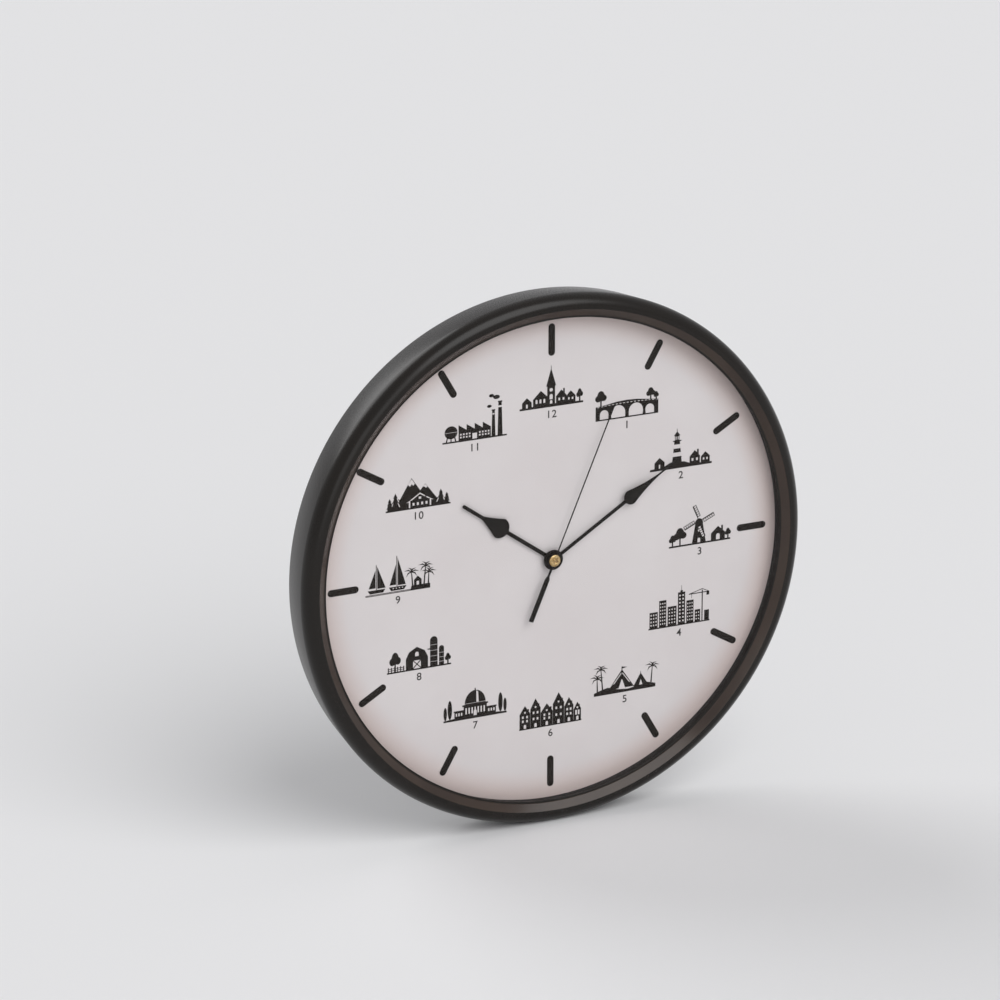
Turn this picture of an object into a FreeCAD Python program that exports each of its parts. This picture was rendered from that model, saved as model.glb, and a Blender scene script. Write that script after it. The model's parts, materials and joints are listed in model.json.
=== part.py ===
import FreeCAD, Part
import math
import os

# Wall clock, 300 mm across, with a quartz movement, its hands, train and case.
# Sizes are in millimetres. Pieces are drawn as seen from the front: x to the right,
# y towards twelve o'clock and z out of the wall, with the hands' axis at zero.
# save() turns them so that the dial faces -Y and twelve o'clock is at +Z.

# Bezel
bezel_radius = 150.0
band_width = 7.5
slope_width = 4.0
lip_width = 1.5
lip_thickness = 0.9
ridge_rise = 3.3
band_depth = 8.0
band_bulge_share = 0.70
bezel_wall = 2.0
bezel_draft = 2.5
bezel_rear_height = 5.0
bezel_seat_wall = 2.0
bezel_seat_length = 17.3

# Discs that lie in the bezel's seat
lip_overlap = 4.0
insert_clearance = 0.3
lens_thickness = 1.4
dial_to_lens = 6.3
dial_thickness = 0.8
spacer_width = 2.4

# Hour marks, their middles counted inwards from the lip's edge
mark_inset = 13.4
mark_length = 18.0
mark_width = 3.9
mark_thickness = 0.2
mark_count = 12

# Back shell
web_thickness = 1.8
skirt_thickness = 1.8
skirt_gap = 3.7
flange_thickness = 2.0
flange_clearance = 0.2
rib_count = 8
rib_thickness = 1.6
rib_height = 3.0
rib_start_radius = 52.0
ring_rib_radius = 92.0
tube_hole_clearance = 0.2

# Case screws and their bosses
case_screw_count = 6
case_screw_first_angle = 30.0
boss_radius = 3.0
boss_gap = 1.0
screw_shank_radius = 1.2
screw_head_radius = 2.6
screw_head_height = 1.6
screw_slot_width = 0.7
screw_slot_depth = 0.8
screw_fit = 0.02
screw_hole_clearance = 0.4
case_screw_length = 10.0

# Hanger plate, its posts and its keyhole, counted inwards from the skirt
hanger_inset = 26.5
hanger_width = 40.0
hanger_height = 20.0
hanger_corner = 4.0
hanger_thickness = 1.2
hanger_from_wall = 3.0
hanger_post_inset = 5.0
hanger_post_radius = 3.5
hanger_lift = 3.0
keyhole_radius = 4.5
keyhole_slot_width = 4.2
keyhole_slot_rise = 7.5
hanger_screw_length = 9.0

# Movement housing
movement_depth = 16.0
movement_from_wall = 3.0
movement_wall = 1.2
movement_corner = 3.0
cover_rebate = 0.6
cover_clearance = 0.1
divider_top = 10.3
divider_thickness = 1.3
dial_tube_radius = 3.7
dial_tube_rise = 0.7
fence_clearance = 0.2
fence_thickness = 1.6
fence_height = 7.0
tongue_width = 8.0
tongue_gap = 1.0
nose_reach = 1.0
nose_height = 0.8

# Arbors and bearings
running_fit = 0.05
arbor_radius = 0.6
rotor_arbor_radius = 0.5
seconds_arbor_radius = 0.7
cannon_radius = 1.75
hour_pipe_radius = 2.55
post_radius = 0.8
arbor_end_gap = 0.5
rear_bearing_radius = 1.4
rear_bearing_height = 1.4
front_bearing_radius = 1.5
front_bearing_height = 4.8
bearing_engagement = 2.0

# Gear teeth
fast_module = 0.3
motion_module = 0.4
wheel_addendum_share = 0.85
pinion_addendum_share = 0.75
dedendum_share = 1.15
tip_width_share = 0.16
wheel_root_width_share = 0.62
pinion_root_width_share = 0.50
rotor_pinion_teeth = 8
intermediate_wheel_teeth = 48
intermediate_pinion_teeth = 12
seconds_wheel_teeth = 60
seconds_pinion_teeth = 8
third_wheel_teeth = 64
third_pinion_teeth = 8
centre_wheel_teeth = 60
cannon_pinion_teeth = 12
motion_wheel_teeth = 36
motion_pinion_teeth = 10
hour_wheel_teeth = 40
knob_pinion_teeth = 14
wheel_thickness = 0.6
hub_radius = 1.5

# Directions of the train's axes, in degrees anticlockwise from three o'clock
intermediate_angle = 135.0
rotor_angle = 150.0
third_angle = 60.0
motion_angle = 0.0
knob_angle = 25.0

# Levels of the train, each counted from the one behind it
rotor_pinion_gap = 1.7
rotor_pinion_length = 1.6
intermediate_wheel_gap = 0.5
intermediate_pinion_gap = 0.4
intermediate_pinion_length = 1.6
seconds_wheel_gap = 0.5
seconds_pinion_length = 1.8
third_wheel_gap = 0.7
third_pinion_length = 2.8
cannon_gap = 0.4
centre_wheel_gap = 0.7
cannon_pinion_gap = 0.2
cannon_pinion_length = 2.0
motion_wheel_gap = 0.7
motion_pinion_length = 2.7
hour_pipe_gap = 0.4
hour_wheel_gap = 0.6
hour_collar_gap = 0.3
hour_collar_radius = 3.2
cannon_collar_radius = 2.1
post_base_gap = 0.2
knob_pinion_overlap = 0.2

# Stepping motor
magnet_radius = 2.9
magnet_gap = 0.4
magnet_length = 3.0
stator_gap = 0.6
stator_thickness = 1.2
stator_above_magnet_foot = 1.4
stator_half_span = 10.2
stator_leg_width = 3.0
stator_below = 5.4
stator_above = 5.5
stator_leg_rise = 12.2
stator_cut = 7.8
stator_cut_rise = 6.1
core_width = 3.0
core_clearance = 0.1
bobbin_clearance = 0.3
bobbin_flange_radius = 3.9
bobbin_flange_thickness = 0.8
bobbin_barrel_radius = 2.2
winding_radius = 3.5
winding_clearance = 0.05

# Electronics
board_bottom = 14.3
board_margin = 0.6
board_thickness = 0.8
chip_radius = 2.5
chip_height = 1.0
chip_x = 3.0
crystal_radius = 1.0
crystal_length = 6.2
crystal_x = 14.0
component_y = 21.0

# Battery and contacts
cell_radius = 7.1
cell_length = 49.2
nub_radius = 2.7
nub_length = 1.3
cell_cap_thickness = 0.4
cell_front_gap = 0.3
cell_nub_gap = 0.3
cell_leaf_room = 2.0
contact_thickness = 0.4
contact_width = 9.0
contact_from_cover = 1.4
contact_margin = 2.4
contact_tail_width = 2.0
contact_tail_rise = 17.0
contact_tab_length = 2.4
contact_tab_height = 2.0
leaf_gap = 0.1
slot_side = 0.8
slot_height = 2.8

# Setting knob
knob_radius = 5.5
knob_thickness = 1.7
knob_gap = 0.3
knob_notch_count = 16
knob_notch_radius = 0.5
knob_stem_radius = 1.5
knob_collar_radius = 3.3
knob_collar_length = 2.0
knob_pivot_radius = 0.8
knob_bearing_gap = 0.3

# Hands
hand_thickness = 0.5
second_hand_thickness = 0.3
hour_hand_above_dial = 1.2
minute_hand_above_dial = 2.8
second_hand_above_dial = 4.3
press_clearance = 0.02
pipe_beyond_hand = 0.1
hand_collar_height = 0.3
hand_collar_width = 0.6
hour_hand_angle = 305.4
minute_hand_angle = 58.4
second_hand_angle = 23.3
hour_hand_length = 65.7
hour_rod_width = 2.2
hour_tip_width = 2.0
hour_hub_radius = 5.0
hour_bulge_radius = 5.7
hour_bulge_place_share = 0.589
hour_neck_place_share = 0.778
hour_flank_width_share = 0.53
hour_flank_place_share = 0.685
minute_hand_length = 91.4
minute_rod_width = 2.0
minute_tip_width = 0.9
minute_hub_radius = 5.7
minute_bulge_radius = 4.3
minute_bulge_place_share = 0.606
minute_neck_place_share = 0.826
minute_flank_width_share = 0.44
minute_flank_place_share = 0.709
second_hand_length = 92.4
second_rod_width = 0.7
second_hub_radius = 3.9
second_tail_length = 36.0
second_tail_width = 2.9
second_tail_start = 11.0
second_tail_shoulder = 1.6
second_neck_width = 1.4
bush_radius = 3.3
bush_height = 0.7
bush_edge_share = 0.35
bush_well_radius = 1.45
bush_well_depth = 0.45
bush_shank_radius = 1.6
bush_shank_length = 0.7
arbor_tip_in_well = 0.3

# Passed beyond a face by every cut
overrun = 1.0

# The square housing is as wide as the cell and its contacts need
cell_room = cell_nub_gap + nub_length + cell_length + cell_leaf_room
half_width = cell_room / 2 + contact_thickness + movement_wall

# Depths out of the wall, one seated on the next
cover_inner = movement_from_wall + movement_wall
movement_front = movement_from_wall + movement_depth
case_inner = movement_front - movement_wall
web_front = movement_front + web_thickness
web_middle = movement_front + web_thickness / 2
dial_front = web_front + dial_thickness
lens_rear = dial_front + dial_to_lens
lens_front = lens_rear + lens_thickness
lip_front = lens_front + lip_thickness
ridge_front = lip_front + ridge_rise
band_rear = ridge_front - band_depth
flange_front = bezel_rear_height + flange_thickness

# Radii that follow one another
ridge_radius = bezel_radius - band_width
slope_foot_radius = ridge_radius - slope_width
lip_radius = slope_foot_radius - lip_width
mark_radius = lip_radius - mark_inset
insert_radius = lip_radius + lip_overlap
seat_radius = insert_radius + insert_clearance
seat_outer_radius = seat_radius + bezel_seat_wall
skirt_outer_radius = insert_radius - skirt_gap
skirt_inner_radius = skirt_outer_radius - skirt_thickness
bezel_rear_radius = bezel_radius - bezel_draft
flange_radius = bezel_rear_radius - bezel_wall - flange_clearance
boss_circle_radius = (skirt_outer_radius + flange_radius) / 2 + screw_hole_clearance
tube_bore_radius = hour_pipe_radius + running_fit
hanger_offset = skirt_inner_radius - hanger_inset
hanger_post_place = hanger_width / 2 - hanger_post_inset

# Levels of the train
rotor_pinion_low = cover_inner + rotor_pinion_gap
rotor_pinion_high = rotor_pinion_low + rotor_pinion_length
magnet_low = rotor_pinion_high + magnet_gap
stator_low = magnet_low + stator_above_magnet_foot
core_low = stator_low + stator_thickness
intermediate_wheel_low = rotor_pinion_low + intermediate_wheel_gap
intermediate_pinion_low = intermediate_wheel_low + wheel_thickness + intermediate_pinion_gap
intermediate_pinion_high = intermediate_pinion_low + intermediate_pinion_length
seconds_wheel_low = intermediate_pinion_low + seconds_wheel_gap
seconds_pinion_low = seconds_wheel_low + wheel_thickness
seconds_pinion_high = seconds_pinion_low + seconds_pinion_length
third_wheel_low = seconds_pinion_low + third_wheel_gap
third_pinion_low = third_wheel_low + wheel_thickness
third_pinion_high = third_pinion_low + third_pinion_length
cannon_low = seconds_pinion_high + cannon_gap
centre_wheel_low = cannon_low + centre_wheel_gap
cannon_pinion_low = centre_wheel_low + wheel_thickness + cannon_pinion_gap
cannon_pinion_high = cannon_pinion_low + cannon_pinion_length
motion_wheel_low = cannon_pinion_low + motion_wheel_gap
motion_pinion_low = motion_wheel_low + wheel_thickness
motion_pinion_high = motion_pinion_low + motion_pinion_length
hour_pipe_low = cannon_pinion_high + hour_pipe_gap
hour_wheel_low = hour_pipe_low + hour_wheel_gap
hour_wheel_high = hour_wheel_low + wheel_thickness
front_bearing_low = case_inner - front_bearing_height
arbor_high = front_bearing_low + bearing_engagement
knob_pinion_low = motion_wheel_low - knob_pinion_overlap
knob_pinion_high = motion_pinion_low + knob_pinion_overlap
knob_bearing_low = knob_pinion_high + knob_bearing_gap
arbor_low = cover_inner + arbor_end_gap

# Levels of the hands
hour_hand_low = dial_front + hour_hand_above_dial
hour_hand_high = hour_hand_low + hand_thickness
minute_hand_low = dial_front + minute_hand_above_dial
minute_hand_high = minute_hand_low + hand_thickness
second_hand_low = dial_front + second_hand_above_dial
second_hand_high = second_hand_low + second_hand_thickness
bush_high = second_hand_high + bush_height

full_turn = 360.0
half_turn = full_turn / 2
quarter_turn = full_turn / 4


def polar(radius, angle, start=(0.0, 0.0)):
    """Point at a radius and an anticlockwise angle from three o'clock."""
    turn = math.radians(angle)
    return (start[0] + radius * math.cos(turn), start[1] + radius * math.sin(turn))


def vector(point, z=0.0):
    return FreeCAD.Vector(point[0], point[1], z)


def disc(radius, low, high, centre=(0.0, 0.0)):
    return Part.makeCylinder(radius, high - low, vector(centre, low))


def tube(outer, inner, low, high, centre=(0.0, 0.0)):
    bore = disc(inner, low - overrun, high + overrun, centre)
    return disc(outer, low, high, centre).cut(bore)


def block(left, right, bottom, top, low, high):
    return Part.makeBox(right - left, top - bottom, high - low, FreeCAD.Vector(left, bottom, low))


def plate(points, low, high):
    corners = [vector(point, low) for point in points]
    outline = Part.makePolygon(corners + corners[:1])
    return Part.Face(outline).extrude(FreeCAD.Vector(0, 0, high - low))


def shaped(edges, low, high):
    """Plate whose outline is a list of lines and arcs, drawn at z zero."""
    face = Part.Face(Part.Wire(edges))
    face.translate(FreeCAD.Vector(0, 0, low))
    return face.extrude(FreeCAD.Vector(0, 0, high - low))


def line(first, last):
    return Part.LineSegment(vector(first), vector(last)).toShape()


def arc(first, middle, last):
    return Part.Arc(vector(first), vector(middle), vector(last)).toShape()


def turned(path):
    """Solid of revolution about z from a closed path of (radius, z) points.

    A three-point entry is an arc: its middle point and its end.
    """
    edges = []
    here = path[0]
    for step in path[1:] + path[:1]:
        if isinstance(step[0], tuple):
            middle, there = step
            edges.append(Part.Arc(upright(here), upright(middle), upright(there)).toShape())
        else:
            there = step
            edges.append(Part.LineSegment(upright(here), upright(there)).toShape())
        here = there
    face = Part.Face(Part.Wire(edges))
    return face.revolve(FreeCAD.Vector(0, 0, 0), FreeCAD.Vector(0, 0, 1), full_turn)


def upright(point):
    return FreeCAD.Vector(point[0], 0, point[1])


def joined(shapes):
    whole = shapes[0].multiFuse(shapes[1:])
    return whole.removeSplitter()


def rounded_block(left, right, bottom, top, low, high, corner):
    body = block(left, right, bottom, top, low, high)
    upright_edges = [edge for edge in body.Edges if abs(edge.tangentAt(0).z) > abs(edge.tangentAt(0).x)
                     and abs(edge.tangentAt(0).z) > abs(edge.tangentAt(0).y)]
    return body.makeFillet(corner, upright_edges)


def spun(shape, angle, centre=(0.0, 0.0)):
    copy = shape.copy()
    copy.rotate(vector(centre), FreeCAD.Vector(0, 0, 1), angle)
    return copy


def around(shape, count, first=0.0):
    return [spun(shape, first + full_turn * number / count) for number in range(count)]


def save(name, shape):
    shape = shape.copy()
    shape.rotate(FreeCAD.Vector(0, 0, 0), FreeCAD.Vector(1, 0, 0), quarter_turn)
    shape.exportStep("parts/" + name + ".step")


# Gears

def toothed(teeth, module, addendum_share, root_share, low, high, centre, tooth_angle):
    """Straight-flanked gear blank with one tooth centred on tooth_angle."""
    pitch_radius = teeth * module / 2
    root = pitch_radius - dedendum_share * module
    tip = pitch_radius + addendum_share * module
    pitch = full_turn / teeth
    corners = []
    for tooth in range(teeth):
        middle = tooth_angle + tooth * pitch
        corners.append(polar(root, middle - pitch * root_share / 2, centre))
        corners.append(polar(tip, middle - pitch * tip_width_share / 2, centre))
        corners.append(polar(tip, middle + pitch * tip_width_share / 2, centre))
        corners.append(polar(root, middle + pitch * root_share / 2, centre))
    return plate(corners, low, high)


def wheel(teeth, module, low, centre, tooth_angle):
    high = low + wheel_thickness
    return toothed(teeth, module, wheel_addendum_share, wheel_root_width_share,
                   low, high, centre, tooth_angle)


def pinion(teeth, module, low, high, centre, tooth_angle):
    return toothed(teeth, module, pinion_addendum_share, pinion_root_width_share,
                   low, high, centre, tooth_angle)


def gap_at(teeth, angle):
    """Tooth angle of a gear that has a gap facing the given angle."""
    return angle + full_turn / teeth / 2


def meshed(teeth, tooth_angle, mate_teeth, direction):
    """Tooth angle of the mate of a gear whose teeth are already placed."""
    offset = tooth_angle - direction
    return gap_at(mate_teeth, direction + half_turn - offset * teeth / mate_teeth)


def centre_distance(first_teeth, second_teeth, module):
    return (first_teeth + second_teeth) * module / 2


# Places of the train's axes
train_distance = centre_distance(seconds_wheel_teeth, intermediate_pinion_teeth, fast_module)
third_distance = centre_distance(seconds_pinion_teeth, third_wheel_teeth, fast_module)
centre_module = 2 * third_distance / (third_pinion_teeth + centre_wheel_teeth)
motion_distance = centre_distance(cannon_pinion_teeth, motion_wheel_teeth, motion_module)
hour_module = 2 * motion_distance / (motion_pinion_teeth + hour_wheel_teeth)
centre = (0.0, 0.0)
intermediate_axis = polar(train_distance, intermediate_angle)
rotor_axis = polar(centre_distance(rotor_pinion_teeth, intermediate_wheel_teeth, fast_module),
                   rotor_angle, intermediate_axis)
third_axis = polar(third_distance, third_angle)
motion_axis = polar(motion_distance, motion_angle)
knob_axis = polar(centre_distance(motion_wheel_teeth, knob_pinion_teeth, motion_module),
                  knob_angle, motion_axis)


# Case

def bezel_ring():
    band_middle = (ridge_radius + (bezel_radius - ridge_radius) * band_bulge_share,
                   band_rear + band_depth * band_bulge_share)
    inner_band = bezel_radius - bezel_wall
    inner_top = ridge_front - 2 * bezel_wall
    inner_middle = (seat_outer_radius + (inner_band - seat_outer_radius) * band_bulge_share,
                    band_rear + (inner_top - band_rear) * band_bulge_share)
    ring = turned([
        (lip_radius, lens_front),
        (lip_radius, lip_front),
        (slope_foot_radius, lip_front),
        (ridge_radius, ridge_front),
        (band_middle, (bezel_radius, band_rear)),
        (bezel_rear_radius, bezel_rear_height),
        (bezel_rear_radius - bezel_wall, bezel_rear_height),
        (inner_band, band_rear),
        (inner_middle, (seat_outer_radius, inner_top)),
        (seat_outer_radius, lens_front - bezel_seat_length),
        (seat_radius, lens_front - bezel_seat_length),
        (seat_radius, lens_front),
    ])
    boss_high = movement_front - boss_gap
    boss = disc(boss_radius, flange_front, boss_high, (0.0, boss_circle_radius))
    pilot_high = bezel_rear_height + case_screw_length + boss_gap
    pilot = disc(screw_shank_radius + screw_fit, flange_front - overrun, pilot_high,
                 (0.0, boss_circle_radius))
    bosses = around(boss, case_screw_count, case_screw_first_angle)
    pilots = around(pilot, case_screw_count, case_screw_first_angle)
    return joined([ring] + bosses).cut(Part.makeCompound(pilots))


def back_shell():
    pan = turned([
        (0.0, movement_front),
        (skirt_inner_radius, movement_front),
        (skirt_inner_radius, 0.0),
        (skirt_outer_radius, 0.0),
        (skirt_outer_radius, bezel_rear_height),
        (flange_radius, bezel_rear_height),
        (flange_radius, flange_front),
        (skirt_outer_radius, flange_front),
        (skirt_outer_radius, movement_front),
        (insert_radius, movement_front),
        (insert_radius, web_front),
        (0.0, web_front),
    ])
    rib_low = movement_front - rib_height
    rib = block(rib_start_radius, skirt_inner_radius + skirt_thickness / 2,
                -rib_thickness / 2, rib_thickness / 2, rib_low, web_middle)
    ribs = around(rib, rib_count, full_turn / rib_count / 2)
    ring_rib = tube(ring_rib_radius + rib_thickness / 2, ring_rib_radius - rib_thickness / 2,
                    rib_low, web_middle)
    posts = []
    for side in (-1, 1):
        place = (side * hanger_post_place, hanger_offset + hanger_lift)
        post = disc(hanger_post_radius, hanger_from_wall + hanger_thickness, web_middle, place)
        pilot_high = hanger_from_wall + hanger_screw_length + boss_gap
        pilot = disc(screw_shank_radius + screw_fit, 0.0, pilot_high, place)
        posts.append(post.cut(pilot))
    shell = joined([pan, ring_rib] + ribs + fence() + posts)
    hole = disc(screw_shank_radius + screw_hole_clearance, bezel_rear_height - overrun,
                flange_front + overrun, (0.0, boss_circle_radius))
    holes = around(hole, case_screw_count, case_screw_first_angle)
    tube_hole = disc(dial_tube_radius + tube_hole_clearance, movement_front - overrun, web_front + overrun)
    return shell.cut(Part.makeCompound(holes + [tube_hole]))


def fence():
    """Frame round the movement with a snap tongue in the middle of each side."""
    inner = half_width + fence_clearance
    outer = inner + fence_thickness
    low = movement_front - fence_height
    high = web_middle
    frame = block(-outer, outer, -outer, outer, low, high)
    frame = frame.cut(block(-inner, inner, -inner, inner, low - overrun, high + overrun))
    gap = tongue_width / 2 + tongue_gap
    notch = block(-gap, gap, inner - overrun, outer + overrun, low - overrun, movement_front)
    for cutter in around(notch, 4):
        frame = frame.cut(cutter)
    side = tongue_width / 2
    foot = movement_from_wall - nose_height
    tongue = block(-side, side, inner, outer, foot, high)
    nose = block(-side, side, half_width - nose_reach, inner + fence_thickness / 2,
                 foot, movement_from_wall)
    return [frame] + around(tongue.fuse(nose).removeSplitter(), 4)


def lens():
    return disc(insert_radius, lens_rear, lens_front)


def spacer_ring():
    return tube(insert_radius, insert_radius - spacer_width, dial_front, lens_rear)


def dial_plate():
    return tube(insert_radius, dial_tube_radius + tube_hole_clearance, web_front, dial_front)


def hour_marks():
    low = dial_front
    high = dial_front + mark_thickness
    straight = (mark_length - mark_width) / 2
    half = mark_width / 2
    right_low = (half, mark_radius - straight)
    right_high = (half, mark_radius + straight)
    left_low = (-half, mark_radius - straight)
    left_high = (-half, mark_radius + straight)
    mark = shaped([
        line(right_low, right_high),
        arc(right_high, (0.0, mark_radius + mark_length / 2), left_high),
        line(left_high, left_low),
        arc(left_low, (0.0, mark_radius - mark_length / 2), right_low),
    ], low, high)
    return Part.makeCompound(around(mark, mark_count))


def screw(length, seat, place):
    """Pan-head screw that points forwards, its head behind the seat."""
    head = disc(screw_head_radius, seat - screw_head_height, seat, place)
    shank = disc(screw_shank_radius, seat, seat + length, place)
    half = screw_slot_width / 2
    bottom = seat - screw_head_height
    slot = block(place[0] - screw_head_radius - overrun, place[0] + screw_head_radius + overrun,
                 place[1] - half, place[1] + half, bottom - overrun, bottom + screw_slot_depth)
    return head.fuse(shank).cut(slot)


def case_screws():
    one = screw(case_screw_length, bezel_rear_height, (0.0, boss_circle_radius))
    return Part.makeCompound(around(one, case_screw_count, case_screw_first_angle))


def hanger_plate():
    low = hanger_from_wall
    high = low + hanger_thickness
    bottom = hanger_offset + hanger_lift - hanger_height / 2
    body = rounded_block(-hanger_width / 2, hanger_width / 2, bottom, bottom + hanger_height,
                         low, high, hanger_corner)
    entry = disc(keyhole_radius, low - overrun, high + overrun, (0.0, hanger_offset))
    half = keyhole_slot_width / 2
    slot_top = hanger_offset + keyhole_slot_rise
    slot = block(-half, half, hanger_offset, slot_top, low - overrun, high + overrun)
    slot_end = disc(half, low - overrun, high + overrun, (0.0, slot_top))
    cuts = [entry, slot, slot_end]
    for side in (-1, 1):
        place = (side * hanger_post_place, hanger_offset + hanger_lift)
        cuts.append(disc(screw_shank_radius + screw_hole_clearance, low - overrun, high + overrun, place))
    return body.cut(joined(cuts[:3])).cut(Part.makeCompound(cuts[3:]))


def hanger_screws():
    places = [(side * hanger_post_place, hanger_offset + hanger_lift) for side in (-1, 1)]
    return Part.makeCompound([screw(hanger_screw_length, hanger_from_wall, place) for place in places])


# Movement housing

def movement_case():
    edge = half_width - movement_wall
    bay_top = -divider_top - divider_thickness
    body = rounded_block(-half_width, half_width, -half_width, half_width,
                         movement_from_wall, movement_front, movement_corner)
    low = movement_from_wall - overrun
    train_room = block(-edge, edge, -divider_top, edge, low, case_inner)
    bay = block(-edge, edge, -edge, bay_top, low, case_inner)
    rebate = half_width - cover_rebate
    cover_seat = rounded_block(-rebate, rebate, -divider_top - divider_thickness / 2, rebate,
                               low, cover_inner, movement_corner - cover_rebate)
    body = body.cut(joined([train_room, bay, cover_seat]))
    for left in (-edge, edge - slot_side):
        slot = block(left, left + slot_side, bay_top - overrun, overrun - divider_top,
                     low, cover_inner + slot_height)
        body = body.cut(slot)
    bearings = []
    bores = []
    for axis, radius, low in ((rotor_axis, rotor_arbor_radius, front_bearing_low),
                              (intermediate_axis, arbor_radius, front_bearing_low),
                              (third_axis, arbor_radius, front_bearing_low),
                              (knob_axis, knob_pivot_radius, knob_bearing_low)):
        bearings.append(disc(front_bearing_radius, low, movement_front - movement_wall / 2, axis))
        bore_high = low + bearing_engagement + arbor_end_gap
        bores.append(disc(radius + running_fit, low - overrun, bore_high, axis))
    post_base = disc(front_bearing_radius, motion_pinion_high + post_base_gap,
                     movement_front - movement_wall / 2, motion_axis)
    post = disc(post_radius, motion_wheel_low - cannon_gap, motion_pinion_high + post_base_gap, motion_axis)
    dial_tube = disc(dial_tube_radius, case_inner, dial_front + dial_tube_rise)
    body = joined([body, post_base, post, dial_tube] + bearings)
    bores.append(disc(tube_bore_radius, case_inner - overrun, dial_front + dial_tube_rise + overrun))
    return body.cut(Part.makeCompound(bores))


def movement_cover():
    edge = half_width - cover_rebate - cover_clearance
    bottom = -divider_top - divider_thickness / 2 + cover_clearance
    body = rounded_block(-edge, edge, bottom, edge, movement_from_wall, cover_inner,
                         movement_corner - cover_rebate)
    bearings = []
    bores = []
    for axis, radius in ((rotor_axis, rotor_arbor_radius), (intermediate_axis, arbor_radius),
                         (third_axis, arbor_radius), (centre, seconds_arbor_radius)):
        high = cover_inner + rear_bearing_height
        bearings.append(disc(rear_bearing_radius, movement_from_wall + movement_wall / 2, high, axis))
        bores.append(disc(radius + running_fit, arbor_low - arbor_end_gap / 2, high + overrun, axis))
    knob_hole = disc(knob_collar_radius + running_fit, movement_from_wall - overrun,
                     cover_inner + overrun, knob_axis)
    return joined([body] + bearings).cut(Part.makeCompound(bores + [knob_hole]))


# Train

def rotor_pinion():
    leaves = pinion(rotor_pinion_teeth, fast_module, rotor_pinion_low, rotor_pinion_high, rotor_axis,
                    rotor_angle + half_turn)
    return joined([leaves, disc(rotor_arbor_radius, arbor_low, arbor_high, rotor_axis)])


def rotor_magnet():
    return tube(magnet_radius, rotor_arbor_radius, magnet_low, magnet_low + magnet_length, rotor_axis)


def intermediate_wheel():
    disc_teeth = wheel(intermediate_wheel_teeth, fast_module, intermediate_wheel_low, intermediate_axis,
                       gap_at(intermediate_wheel_teeth, rotor_angle))
    leaves = pinion(intermediate_pinion_teeth, fast_module, intermediate_pinion_low,
                    intermediate_pinion_high, intermediate_axis, intermediate_angle + half_turn)
    hub = disc(hub_radius, intermediate_wheel_low, intermediate_pinion_low, intermediate_axis)
    return joined([disc_teeth, hub, leaves, disc(arbor_radius, arbor_low, arbor_high, intermediate_axis)])


def seconds_wheel():
    disc_teeth = wheel(seconds_wheel_teeth, fast_module, seconds_wheel_low, centre,
                       gap_at(seconds_wheel_teeth, intermediate_angle))
    leaves = pinion(seconds_pinion_teeth, fast_module, seconds_pinion_low, seconds_pinion_high,
                    centre, third_angle)
    hub = disc(hub_radius, seconds_wheel_low - intermediate_pinion_gap, seconds_wheel_low, centre)
    tip = bush_high - bush_well_depth + arbor_tip_in_well
    return joined([disc_teeth, hub, leaves, disc(seconds_arbor_radius, arbor_low, tip, centre)])


def third_wheel():
    disc_teeth = wheel(third_wheel_teeth, fast_module, third_wheel_low, third_axis,
                       gap_at(third_wheel_teeth, third_angle + half_turn))
    leaves = pinion(third_pinion_teeth, centre_module, third_pinion_low, third_pinion_high, third_axis,
                    third_angle + half_turn)
    hub = disc(hub_radius, third_wheel_low - third_wheel_gap, third_wheel_low, third_axis)
    return joined([disc_teeth, hub, leaves, disc(arbor_radius, arbor_low, arbor_high, third_axis)])


def centre_wheel():
    disc_teeth = wheel(centre_wheel_teeth, centre_module, centre_wheel_low, centre,
                       gap_at(centre_wheel_teeth, third_angle))
    return disc_teeth.cut(disc(cannon_radius + press_clearance, cannon_low, cannon_pinion_high))


def cannon_pinion():
    leaves = pinion(cannon_pinion_teeth, motion_module, cannon_pinion_low, cannon_pinion_high,
                    centre, motion_angle)
    pipe = disc(cannon_radius, cannon_low, minute_hand_high + pipe_beyond_hand)
    collar = disc(cannon_collar_radius, cannon_low, centre_wheel_low)
    body = joined([leaves, pipe, collar])
    return body.cut(disc(seconds_arbor_radius + running_fit, cannon_low - overrun,
                         minute_hand_high + pipe_beyond_hand + overrun))


motion_tooth_angle = gap_at(motion_wheel_teeth, motion_angle + half_turn)


def motion_wheel():
    disc_teeth = wheel(motion_wheel_teeth, motion_module, motion_wheel_low, motion_axis, motion_tooth_angle)
    leaves = pinion(motion_pinion_teeth, hour_module, motion_pinion_low, motion_pinion_high, motion_axis,
                    motion_angle + half_turn)
    bore = disc(post_radius + running_fit, motion_wheel_low - overrun, motion_pinion_high + overrun,
                motion_axis)
    return joined([disc_teeth, leaves]).cut(bore)


def hour_wheel():
    disc_teeth = wheel(hour_wheel_teeth, hour_module, hour_wheel_low, centre,
                       gap_at(hour_wheel_teeth, motion_angle))
    pipe_high = hour_hand_high + pipe_beyond_hand
    pipe = disc(hour_pipe_radius, hour_pipe_low, pipe_high)
    collar = disc(hour_collar_radius, hour_wheel_high, case_inner - hour_collar_gap)
    body = joined([disc_teeth, pipe, collar])
    return body.cut(disc(cannon_radius + running_fit, hour_pipe_low - overrun, pipe_high + overrun))


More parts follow.
